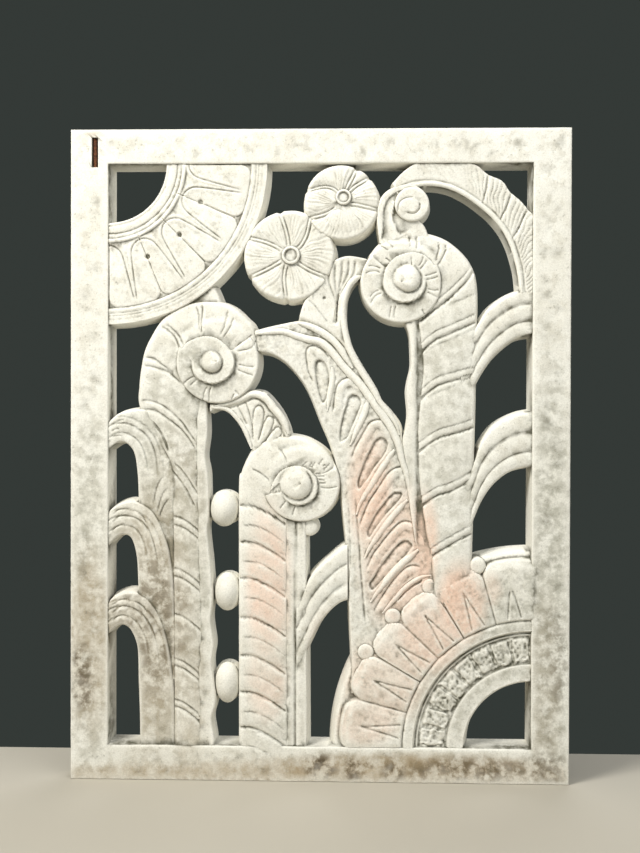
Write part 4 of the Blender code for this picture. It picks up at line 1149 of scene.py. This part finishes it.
SHELL_RIM = ((216, 405), (226, 403.5), (236, 400.5), (244, 397.5), (251, 393.8), (257.5, 393), (264, 395.5),
             (270, 400.5), (275, 407.5), (281, 414.5), (286, 422.5), (290, 433))
SHELL_RIBS = (
    [(246, 400), (250, 410), (253, 424), (254.5, 440)],
    [(254.5, 438), (254, 420), (256, 408), (261, 404.5), (265, 409), (264.5, 420), (259, 442)],
    [(259.5, 441), (265, 424), (268.5, 416), (272.5, 415.5), (275, 420), (271, 432), (262, 446)],
    [(263, 446), (272, 433), (277.5, 426.5), (281.5, 427), (283, 433), (277, 442), (268, 450)],
    [(238, 404), (243, 413), (248.5, 424)])


# ---------------------------------------------------------------- casting

def box_object(name, low, high):
    """A closed box between two corners."""
    bm = bmesh.new()
    bmesh.ops.create_cube(bm, size=1.0)
    middle = [(a + b) / 2 for a, b in zip(low, high)]
    size = [b - a for a, b in zip(low, high)]
    bmesh.ops.transform(bm, matrix=Matrix.Translation(middle) @ Matrix.Diagonal((*size, 1)), verts=bm.verts)
    mesh = bpy.data.meshes.new(name)
    bm.to_mesh(mesh)
    bm.free()
    return link_object(name, mesh)


def cut_away(body, cutter, name):
    """Cut one solid out of another."""
    modifier = body.modifiers.new(name, "BOOLEAN")
    modifier.operation = "DIFFERENCE"
    modifier.solver = "MANIFOLD"
    modifier.object = cutter


SLOT_ROOM_LOW = (0.0012, 0.05, 0.001)     # the slot's room past the bar: left, out of the face, below
SLOT_ROOM_HIGH = (0.0024, 0.0006, 0.001)  # right, behind, above


def cast_panel():
    """Join every carved solid into the one casting, trim its back flat and cut the bar's slot."""
    helpers = bpy.data.collections.new("carved_solids")
    bpy.context.scene.collection.children.link(helpers)
    blank = SOLIDS.pop("frame_blank")
    for obj in SOLIDS.values():
        bpy.context.scene.collection.objects.unlink(obj)
        helpers.objects.link(obj)
    join = blank.modifiers.new("join", "BOOLEAN")
    join.operation = "UNION"
    join.solver = "MANIFOLD"
    join.operand_type = "COLLECTION"
    join.collection = helpers
    behind = box_object("behind", (-1, BACK_Y, -0.5), (1, BACK_Y + 0.1, 1.5))
    cut_away(blank, behind, "trim")
    low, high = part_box("exposed_bar")
    slot = box_object("slot", np.array(low) - SLOT_ROOM_LOW, np.array(high) + SLOT_ROOM_HIGH)
    cut_away(blank, slot, "slot")
    mesh = as_evaluated(blank)
    for obj in list(SOLIDS.values()) + [blank, behind, slot]:
        bpy.data.objects.remove(obj)
    SOLIDS.clear()
    bpy.data.collections.remove(helpers)
    mesh.name = "concrete_casting"
    return link_object("concrete_casting", mesh)


def vertex_array(mesh, what):
    """The positions or normals of a mesh, one row for each vertex."""
    values = np.empty(3 * len(mesh.vertices))
    mesh.vertices.foreach_get(what, values)
    return values.reshape(-1, 3)


def hollows(mesh, rounds):
    """Millimetres that each vertex lies below its surroundings: positive in grooves, negative on arrises."""
    count = len(mesh.vertices)
    place, normal = vertex_array(mesh, "co"), vertex_array(mesh, "normal")
    ends = np.empty(2 * len(mesh.edges), int)
    mesh.edges.foreach_get("vertices", ends)
    ends = ends.reshape(-1, 2)
    degree = np.bincount(ends.ravel(), minlength=count)[:, None]
    soft = place.copy()
    for _ in range(rounds):
        total = np.stack([np.bincount(ends[:, 0], soft[ends[:, 1], k], count)
                          + np.bincount(ends[:, 1], soft[ends[:, 0], k], count) for k in range(3)], axis=-1)
        soft = 0.5 * soft + 0.5 * total / degree
    return ((soft - place) * normal).sum(1) / MM


def spots(squares, places):
    """Cover of each point, 0 to 1, by soft oval patches: (x, y, half width, half height, strength) each."""
    cover = np.zeros(len(squares))
    for x, y, wide, high, strength in places:
        reach_out = np.hypot((squares[:, 0] - x) / wide, (squares[:, 1] - y) / high)
        cover = np.maximum(cover, strength * step_up(1.35 - reach_out, 0, 0.8))
    return cover


BLUSH = ((270, 585, 22, 80, 0.8), (268, 680, 20, 40, 0.5), (372, 490, 22, 60, 0.9), (400, 560, 36, 70, 0.7),
         (425, 545, 14, 50, 0.9), (462, 603, 24, 40, 1.0), (430, 640, 34, 34, 0.7), (385, 680, 44, 40, 0.6),
         (365, 722, 34, 22, 0.5), (330, 640, 20, 30, 0.3), (488, 588, 14, 18, 0.5))
TANNED = ((320, 775, 330, 14, 0.75), (90, 640, 26, 90, 0.6), (152, 620, 46, 130, 0.55),
          (188, 690, 20, 90, 0.35), (545, 700, 16, 110, 0.25), (400, 768, 160, 14, 1.0),
          (95, 133, 8, 6, 0.7), (178, 510, 30, 90, 0.25))
GREYED = ((160, 560, 60, 190, 0.8), (190, 450, 36, 130, 0.6), (90, 600, 30, 190, 0.6),
          (550, 600, 26, 230, 0.8), (440, 440, 40, 150, 0.5), (500, 640, 44, 60, 0.7),
          (300, 700, 80, 60, 0.4), (470, 690, 70, 60, 0.6))
SOOTED = ((322, 768, 14, 14, 1.0), (355, 770, 10, 12, 0.9), (372, 764, 5, 5, 0.8), (395, 772, 12, 12, 0.8),
          (470, 772, 60, 14, 0.7), (545, 770, 26, 16, 0.6), (78, 672, 14, 26, 0.8), (560, 660, 10, 50, 0.4),
          (82, 690, 12, 20, 0.7), (150, 620, 40, 70, 0.5), (115, 244, 6, 6, 0.7), (380, 600, 40, 30, 0.2))


SHARP_ANGLE = math.radians(42)
FINE_ROUNDS, WIDE_ROUNDS = 3, 26          # rounds of smoothing that find small and broad hollows


def paint_attribute(mesh, name, values):
    """Store a 0 to 1 value for each vertex, for the material to read."""
    layer = mesh.attributes.new(name, "FLOAT", "POINT")
    layer.data.foreach_set("value", np.clip(values, 0, 1).astype(np.float32))


def finish_casting(casting):
    """Bring the casting under its triangle limit, shade it smooth, and mark its soiling and painted shade in
    its hollows, its wear and its stains.
    """
    total = sum(len(p.vertices) - 2 for p in casting.data.polygons)
    thin = casting.modifiers.new("thin", "DECIMATE")
    thin.ratio = min(1.0, bpy.context.scene.pierced_panel_sizes.triangles / total)
    mesh = as_evaluated(casting)
    casting.modifiers.clear()
    casting.data = mesh
    mesh.name = "concrete_casting"
    mesh.shade_smooth()
    mesh.set_sharp_from_angle(angle=SHARP_ANGLE)
    place = vertex_array(mesh, "co")
    squares = drawing(place[:, 0], place[:, 2])
    fine, wide = hollows(mesh, FINE_ROUNDS), hollows(mesh, WIDE_ROUNDS)
    # Soiling and painted shade: grooves and corners are marked for darkening, and the deeper hollows more.
    paint_attribute(mesh, "dirt_and_shade", 1.6 * fine + 0.45 * wide)
    paint_attribute(mesh, "wear", -1.6 * fine - 0.15 * wide)
    paint_attribute(mesh, "blush", spots(squares, BLUSH))
    paint_attribute(mesh, "tan", spots(squares, TANNED))
    paint_attribute(mesh, "grey", spots(squares, GREYED))
    paint_attribute(mesh, "soot", spots(squares, SOOTED))
    return casting


# ---------------------------------------------------------------- finishes

def add(tree, kind, *pairs, **settings):
    """A node with its settings, and its inputs given as (name or number, value or socket) pairs."""
    node = tree.nodes.new(kind)
    for key, value in settings.items():
        setattr(node, key, value)
    for key, value in pairs:
        if isinstance(value, bpy.types.NodeSocket):
            tree.links.new(value, node.inputs[key])
        else:
            node.inputs[key].default_value = value
    return node


def noise(tree, where, scale, detail=4.0, roughness=0.6, seed=0.0):
    """Smooth noise from 0 to 1."""
    node = add(tree, "ShaderNodeTexNoise", ("Vector", where), ("Scale", scale), ("Detail", detail),
               ("Roughness", roughness), ("W", seed), noise_dimensions="4D")
    return node.outputs["Fac"]


def ramp(tree, value, low, high, out_low=0.0, out_high=1.0):
    """A soft step from one value to another between low and high."""
    node = add(tree, "ShaderNodeMapRange", (0, value), (1, low), (2, high), (3, out_low), (4, out_high),
               interpolation_type="SMOOTHSTEP")
    return node.outputs[0]


def math_node(tree, operation, a, b=0.5):
    """The result of one sum on two values or sockets."""
    return add(tree, "ShaderNodeMath", (0, a), (1, b), operation=operation).outputs[0]


def mixed(tree, factor, first, second, blend="MIX"):
    """Two colours mixed by a factor."""
    node = add(tree, "ShaderNodeMix", (0, factor), (6, first), (7, second), data_type="RGBA",
               blend_type=blend)
    return node.outputs[2]


def attribute(tree, name):
    """A value that the mesh stores for each vertex."""
    return add(tree, "ShaderNodeAttribute", attribute_name=name).outputs["Fac"]


def colour(red, green, blue):
    """An sRGB colour, 0 to 255, as the linear colour that nodes take."""
    return tuple(((v / 255 + 0.055) / 1.055) ** 2.4 for v in (red, green, blue)) + (1.0,)


def opaque(chosen):
    """A colour setting as the four values that a node takes."""
    return tuple(chosen) + (1,)


def new_material(name):
    """A node material, with its tree and its shader."""
    material = bpy.data.materials.new(name)
    material.use_nodes = True
    return material, material.node_tree, material.node_tree.nodes["Principled BSDF"]


def make_concrete():
    """Pale limewashed cement, stained grey, tan and warm, with soiling and painted shade darkening its
    hollows, and wear on its arrises.
    """
    looks = bpy.context.scene.pierced_panel_looks
    material, tree, shader = new_material("weathered_concrete")
    where = add(tree, "ShaderNodeTexCoord").outputs["Object"]
    broad = noise(tree, where, 9.0, 5.0, 0.6, 1.0)
    patchy = noise(tree, where, 55.0, 6.0, 0.65, 2.0)
    grainy = noise(tree, where, 420.0, 5.0, 0.7, 3.0)
    specks = noise(tree, where, 260.0, 3.0, 0.6, 4.0)
    body = mixed(tree, ramp(tree, broad, 0.35, 0.65), opaque(looks.body_shade), opaque(looks.body))
    body = mixed(tree, ramp(tree, patchy, 0.45, 0.62, 0.0, 0.55), body, colour(205, 200, 184))
    grey = math_node(tree, "MULTIPLY", attribute(tree, "grey"), ramp(tree, patchy, 0.35, 0.6))
    body = mixed(tree, grey, body, colour(168, 166, 152))
    tan = math_node(tree, "MULTIPLY", attribute(tree, "tan"), ramp(tree, patchy, 0.3, 0.6, 0.35, 1.0))
    body = mixed(tree, tan, body, opaque(looks.tan))
    blush = math_node(tree, "MULTIPLY", attribute(tree, "blush"), ramp(tree, broad, 0.3, 0.6, 0.4, 1.0))
    body = mixed(tree, blush, body, opaque(looks.blush))
    speckle = math_node(tree, "MULTIPLY", ramp(tree, specks, 0.56, 0.70),
                        ramp(tree, patchy, 0.4, 0.6, 0.1, 0.6))
    body = mixed(tree, speckle, body, colour(138, 134, 120))
    soot = math_node(tree, "MULTIPLY", attribute(tree, "soot"), ramp(tree, patchy, 0.42, 0.58))
    body = mixed(tree, soot, body, colour(88, 76, 58))
    # Painted shade with soiling: the hollows are darkened towards the hollow colour.
    dirt_and_shade = math_node(tree, "MULTIPLY", attribute(tree, "dirt_and_shade"), ramp(tree, patchy, 0.3, 0.65, 0.35, 1.0))
    body = mixed(tree, dirt_and_shade, body, opaque(looks.dirt_and_shade_colour))
    wear = math_node(tree, "MULTIPLY", attribute(tree, "wear"), ramp(tree, patchy, 0.3, 0.6, 0.2, 0.8))
    body = mixed(tree, wear, body, colour(243, 240, 229))
    body = mixed(tree, ramp(tree, grainy, 0.35, 0.7, 0.0, 0.22), body, colour(120, 116, 102), "MULTIPLY")
    tree.links.new(body, shader.inputs["Base Color"])
    tree.links.new(ramp(tree, patchy, 0.3, 0.7, 0.82, 0.97), shader.inputs["Roughness"])
    shader.inputs["Specular IOR Level"].default_value = 0.25
    pits = add(tree, "ShaderNodeTexVoronoi", ("Vector", where), ("Scale", 190.0), ("Randomness", 1.0))
    pit = ramp(tree, pits.outputs["Distance"], 0.0, 0.22, 0.0, 1.0)
    pit_here = ramp(tree, patchy, 0.5, 0.56, 0.0, 1.0)
    pit = math_node(tree, "MAXIMUM", pit, math_node(tree, "SUBTRACT", 1.0, pit_here))
    fine = add(tree, "ShaderNodeBump", ("Height", grainy), ("Distance", 0.0009), ("Strength", 0.55))
    hole = add(tree, "ShaderNodeBump", ("Height", pit), ("Distance", 0.0008), ("Strength", 0.5),
               ("Normal", fine.outputs[0]))
    lumps = add(tree, "ShaderNodeBump", ("Height", patchy), ("Distance", 0.0022), ("Strength", 0.45),
                ("Normal", hole.outputs[0]))
    tree.links.new(lumps.outputs[0], shader.inputs["Normal"])
    return material


def make_rust():
    """Dark scaly rust."""
    looks = bpy.context.scene.pierced_panel_looks
    material, tree, shader = new_material("rusty_steel")
    where = add(tree, "ShaderNodeTexCoord").outputs["Object"]
    scale = noise(tree, where, 330.0, 5.0, 0.65, 5.0)
    body = mixed(tree, ramp(tree, scale, 0.35, 0.65), colour(62, 36, 22), opaque(looks.rust))
    tree.links.new(body, shader.inputs["Base Color"])
    shader.inputs["Roughness"].default_value = 0.85
    shader.inputs["Metallic"].default_value = 0.2
    bump = add(tree, "ShaderNodeBump", ("Height", scale), ("Distance", 0.0006), ("Strength", 0.7))
    tree.links.new(bump.outputs[0], shader.inputs["Normal"])
    return material


# ---------------------------------------------------------------- stage

CAMERA_PLACE = (0.0847, -2.1627, 0.5624)
CAMERA_TURN = (2.219, -0.744, 0.162)      # to the left, up and counter-clockwise, in degrees
SENSOR = 36.0
LOOK_AT = (0, 0, 0.5)
FLOOR_SIZE = (6.0, 3.0, 0.12)
FLOOR_PLACE = (0, -1.32, -0.06)
# Painted shade: a plain dark backdrop colour that stands in for the shaded wall seen through the openings.
SHADED_OPENINGS_BACKDROP = (0.035, 0.042, 0.038, 1)


def make_floor():
    """A plain pale slab under the panel."""
    bm = bmesh.new()
    bmesh.ops.create_cube(bm, size=1.0)
    bmesh.ops.transform(bm, matrix=Matrix.Translation(FLOOR_PLACE) @ Matrix.Diagonal(FLOOR_SIZE + (1,)),
                        verts=bm.verts)
    mesh = bpy.data.meshes.new("studio_floor")
    bm.to_mesh(mesh)
    bm.free()
    floor = link_object("studio_floor", mesh)
    material, _, shader = new_material("pale_floor")
    shader.inputs["Base Color"].default_value = opaque(bpy.context.scene.pierced_panel_stage.floor)
    shader.inputs["Roughness"].default_value = 0.9
    mesh.materials.append(material)


def make_light(name, place, target, size, watts, tint):
    """A round soft light that the camera doesn't see."""
    data = bpy.data.lights.new(name, "AREA")
    data.shape = "DISK"
    data.size = size
    data.energy = watts
    data.color = tint
    light = link_object(name, data)
    light.location = place
    light.rotation_euler = (Vector(target) - Vector(place)).to_track_quat("-Z", "Y").to_euler()
    light.visible_camera = False


def make_stage():
    """The floor, a dark backdrop colour that paints the shade seen through the openings, four soft lights and
    the camera.
    """
    make_floor()
    scene = bpy.context.scene
    scene.view_settings.view_transform = "Standard"
    world = bpy.data.worlds.new("painted_shade_world")
    world.use_nodes = True
    world.node_tree.nodes["Background"].inputs["Color"].default_value = SHADED_OPENINGS_BACKDROP
    scene.world = world
    stage = scene.pierced_panel_stage
    make_light("key_light", (-1.5, -1.7, 2.4), LOOK_AT, 1.1, stage.key_power, (1.0, 0.985, 0.95))
    make_light("fill_light", (1.6, -2.8, 1.0), LOOK_AT, 2.2, stage.fill_power, (0.95, 0.98, 1.0))
    make_light("top_light", (0.1, -0.6, 2.6), LOOK_AT, 1.2, 22, (1.0, 1.0, 1.0))
    make_light("back_light", (0.6, 2.4, 1.8), LOOK_AT, 2.0, 40, (0.97, 0.98, 1.0))
    data = bpy.data.cameras.new("camera")
    data.lens = stage.lens
    data.sensor_width = SENSOR
    camera = link_object("camera", data)
    left, up, roll = (math.radians(v) for v in CAMERA_TURN)
    camera.matrix_world = (Matrix.Translation(CAMERA_PLACE) @ Matrix.Rotation(left, 4, "Z")
                           @ Matrix.Rotation(math.radians(90) + up, 4, "X") @ Matrix.Rotation(roll, 4, "Z"))
    scene.camera = camera


# ---------------------------------------------------------------- settings

def colour_property(name, description, *rgb):
    """A colour setting, given as sRGB from 0 to 255."""
    return FloatVectorProperty(name=name, description=description, default=colour(*rgb)[:3], min=0, max=1,
                               size=3,
                               subtype="COLOR")


class PiercedPanelSizes(bpy.types.PropertyGroup):
    """The surround's rails and the casting's triangle limit"""
    side_rail: FloatProperty(name="Side rail", description="Width of the surround's two sides",
                             default=0.057,
                             min=0.03, max=0.08, unit="LENGTH")
    top_rail: FloatProperty(name="Top rail", description="Height of the surround's top", default=0.052,
                            min=0.03,
                            max=0.08, unit="LENGTH")
    bottom_rail: FloatProperty(name="Bottom rail", description="Height of the surround's foot",
                               default=0.053,
                               min=0.03, max=0.08, unit="LENGTH")
    triangles: IntProperty(name="Triangles", description="The most triangles that the casting keeps",
                           default=192000,
                           min=20000, max=199000)


class PiercedPanelLooks(bpy.types.PropertyGroup):
    """Colours of the concrete, its stains and the bar's rust"""
    body: colour_property("Body", "The clean cast face", 236, 234, 224)
    body_shade: colour_property("Body shade", "Broad darker clouds on the face", 226, 223, 211)
    # Colour of the soiling and of the painted shade in grooves and corners.
    dirt_and_shade_colour: colour_property("Dirt", "What has settled in grooves and corners", 84, 82, 66)
    tan: colour_property("Tan stain", "The foot rail and the lower left corner", 168, 150, 120)
    blush: colour_property("Blush stain", "The warm stain down the middle", 232, 200, 178)
    rust: colour_property("Rust", "The bare end of the reinforcing bar", 122, 74, 42)


class PiercedPanelStage(bpy.types.PropertyGroup):
    """The camera's lens, the two main lights and the floor's colour"""
    lens: FloatProperty(name="Lens", description="Focal length of the camera", default=60.5, min=20, max=200,
                        unit="CAMERA")
    key_power: FloatProperty(name="Key light", description="Power of the upper left light", default=95,
                             min=0,
                             unit="POWER")
    fill_power: FloatProperty(name="Fill light", description="Power of the low front light", default=38,
                              min=0,
                              unit="POWER")
    floor: colour_property("Floor", "The plain floor", 176, 170, 156)


# ---------------------------------------------------------------- operators

class PIERCED_PANEL_OT_surround(bpy.types.Operator):
    """Make the plain surround that holds the carving"""
    bl_idname = "pierced_panel.surround"
    bl_label = "Surround"

    def execute(self, context):
        build_frame_blank()
        return {"FINISHED"}


class PIERCED_PANEL_OT_fans(bpy.types.Operator):
    """Carve the two quarter fans in opposite corners"""
    bl_idname = "pierced_panel.fans"
    bl_label = "Fans"

    def execute(self, context):
        build_upper_fan()
        build_lower_fan()
        return {"FINISHED"}


class PIERCED_PANEL_OT_flowers(bpy.types.Operator):
    """Carve the two open flowers"""
    bl_idname = "pierced_panel.flowers"
    bl_label = "Flowers"

    def execute(self, context):
        build_flowers()
        return {"FINISHED"}


class PIERCED_PANEL_OT_scrolls(bpy.types.Operator):
    """Carve the three tall scrolls with their stems, and the small one"""
    bl_idname = "pierced_panel.scrolls"
    bl_label = "Scrolls"

    def execute(self, context):
        build_right_scroll()
        build_left_scroll()
        build_middle_scroll()
        build_small_scroll()
        return {"FINISHED"}


class PIERCED_PANEL_OT_straps(bpy.types.Operator):
    """Carve the feathered frond, the ribbed straps and the three arches"""
    bl_idname = "pierced_panel.straps"
    bl_label = "Frond, straps and arches"

    def execute(self, context):
        build_frond()
        build_straps()
        return {"FINISHED"}


class PIERCED_PANEL_OT_berries(bpy.types.Operator):
    """Stand the three oval berries between the stems"""
    bl_idname = "pierced_panel.berries"
    bl_label = "Berries"

    def execute(self, context):
        build_berries()
        return {"FINISHED"}


class PIERCED_PANEL_OT_leaves(bpy.types.Operator):
    """Carve the big leaf, its hooked blade and the shell leaf"""
    bl_idname = "pierced_panel.leaves"
    bl_label = "Leaves"

    def execute(self, context):
        build_leaf()
        return {"FINISHED"}


class PIERCED_PANEL_OT_casting(bpy.types.Operator):
    """Join what has been carved into one casting and weather it"""
    bl_idname = "pierced_panel.casting"
    bl_label = "Casting"

    def execute(self, context):
        if "frame_blank" not in SOLIDS:
            raise RuntimeError("make the surround and the carving before the casting")
        casting = finish_casting(cast_panel())
        casting.data.materials.clear()
        casting.data.materials.append(make_concrete())
        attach(casting, "root")
        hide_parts("concrete_panel")
        return {"FINISHED"}


class PIERCED_PANEL_OT_bar(bpy.types.Operator):
    """Rust the bare end of the reinforcing bar"""
    bl_idname = "pierced_panel.bar"
    bl_label = "Exposed bar"

    def execute(self, context):
        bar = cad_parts["exposed_bar"]
        bar.data.materials.clear()
        bar.data.materials.append(make_rust())
        return {"FINISHED"}


class PIERCED_PANEL_OT_stage(bpy.types.Operator):
    """Set up the floor, the lights and the camera"""
    bl_idname = "pierced_panel.stage"
    bl_label = "Stage"

    def execute(self, context):
        make_stage()
        return {"FINISHED"}


STEPS = (PIERCED_PANEL_OT_surround, PIERCED_PANEL_OT_fans, PIERCED_PANEL_OT_flowers,
         PIERCED_PANEL_OT_scrolls,
         PIERCED_PANEL_OT_straps, PIERCED_PANEL_OT_berries, PIERCED_PANEL_OT_leaves,
         PIERCED_PANEL_OT_casting,
         PIERCED_PANEL_OT_bar, PIERCED_PANEL_OT_stage)
SETTINGS = {"pierced_panel_sizes": PiercedPanelSizes, "pierced_panel_looks": PiercedPanelLooks,
            "pierced_panel_stage": PiercedPanelStage}


class PIERCED_PANEL_PT_build(bpy.types.Panel):
    """Sizes, colours and steps of the pierced panel"""
    bl_idname = "PIERCED_PANEL_PT_build"
    bl_label = "Pierced Concrete Panel"
    bl_space_type = "VIEW_3D"
    bl_region_type = "UI"
    bl_category = "Panel"

    def draw(self, context):
        for label, group in SETTINGS.items():
            box = self.layout.box()
            for field in group.__annotations__:
                box.prop(getattr(context.scene, label), field)
        column = self.layout.column(align=True)
        for step in STEPS:
            column.operator(step.bl_idname, text=step.bl_label)


def register():
    for group in SETTINGS.values():
        bpy.utils.register_class(group)
    for step in STEPS + (PIERCED_PANEL_PT_build,):
        bpy.utils.register_class(step)
    for label, group in SETTINGS.items():
        setattr(bpy.types.Scene, label, PointerProperty(type=group))


def unregister():
    for label in SETTINGS:
        delattr(bpy.types.Scene, label)
    for step in reversed(STEPS + (PIERCED_PANEL_PT_build,)):
        bpy.utils.unregister_class(step)
    for group in reversed(SETTINGS.values()):
        bpy.utils.unregister_class(group)


def main():
    register()
    bpy.ops.pierced_panel.surround()
    bpy.ops.pierced_panel.fans()
    bpy.ops.pierced_panel.flowers()
    bpy.ops.pierced_panel.scrolls()
    bpy.ops.pierced_panel.straps()
    bpy.ops.pierced_panel.berries()
    bpy.ops.pierced_panel.leaves()
    bpy.ops.pierced_panel.casting()
    bpy.ops.pierced_panel.bar()
    bpy.ops.pierced_panel.stage()


if __name__ == "__main__":
    main()
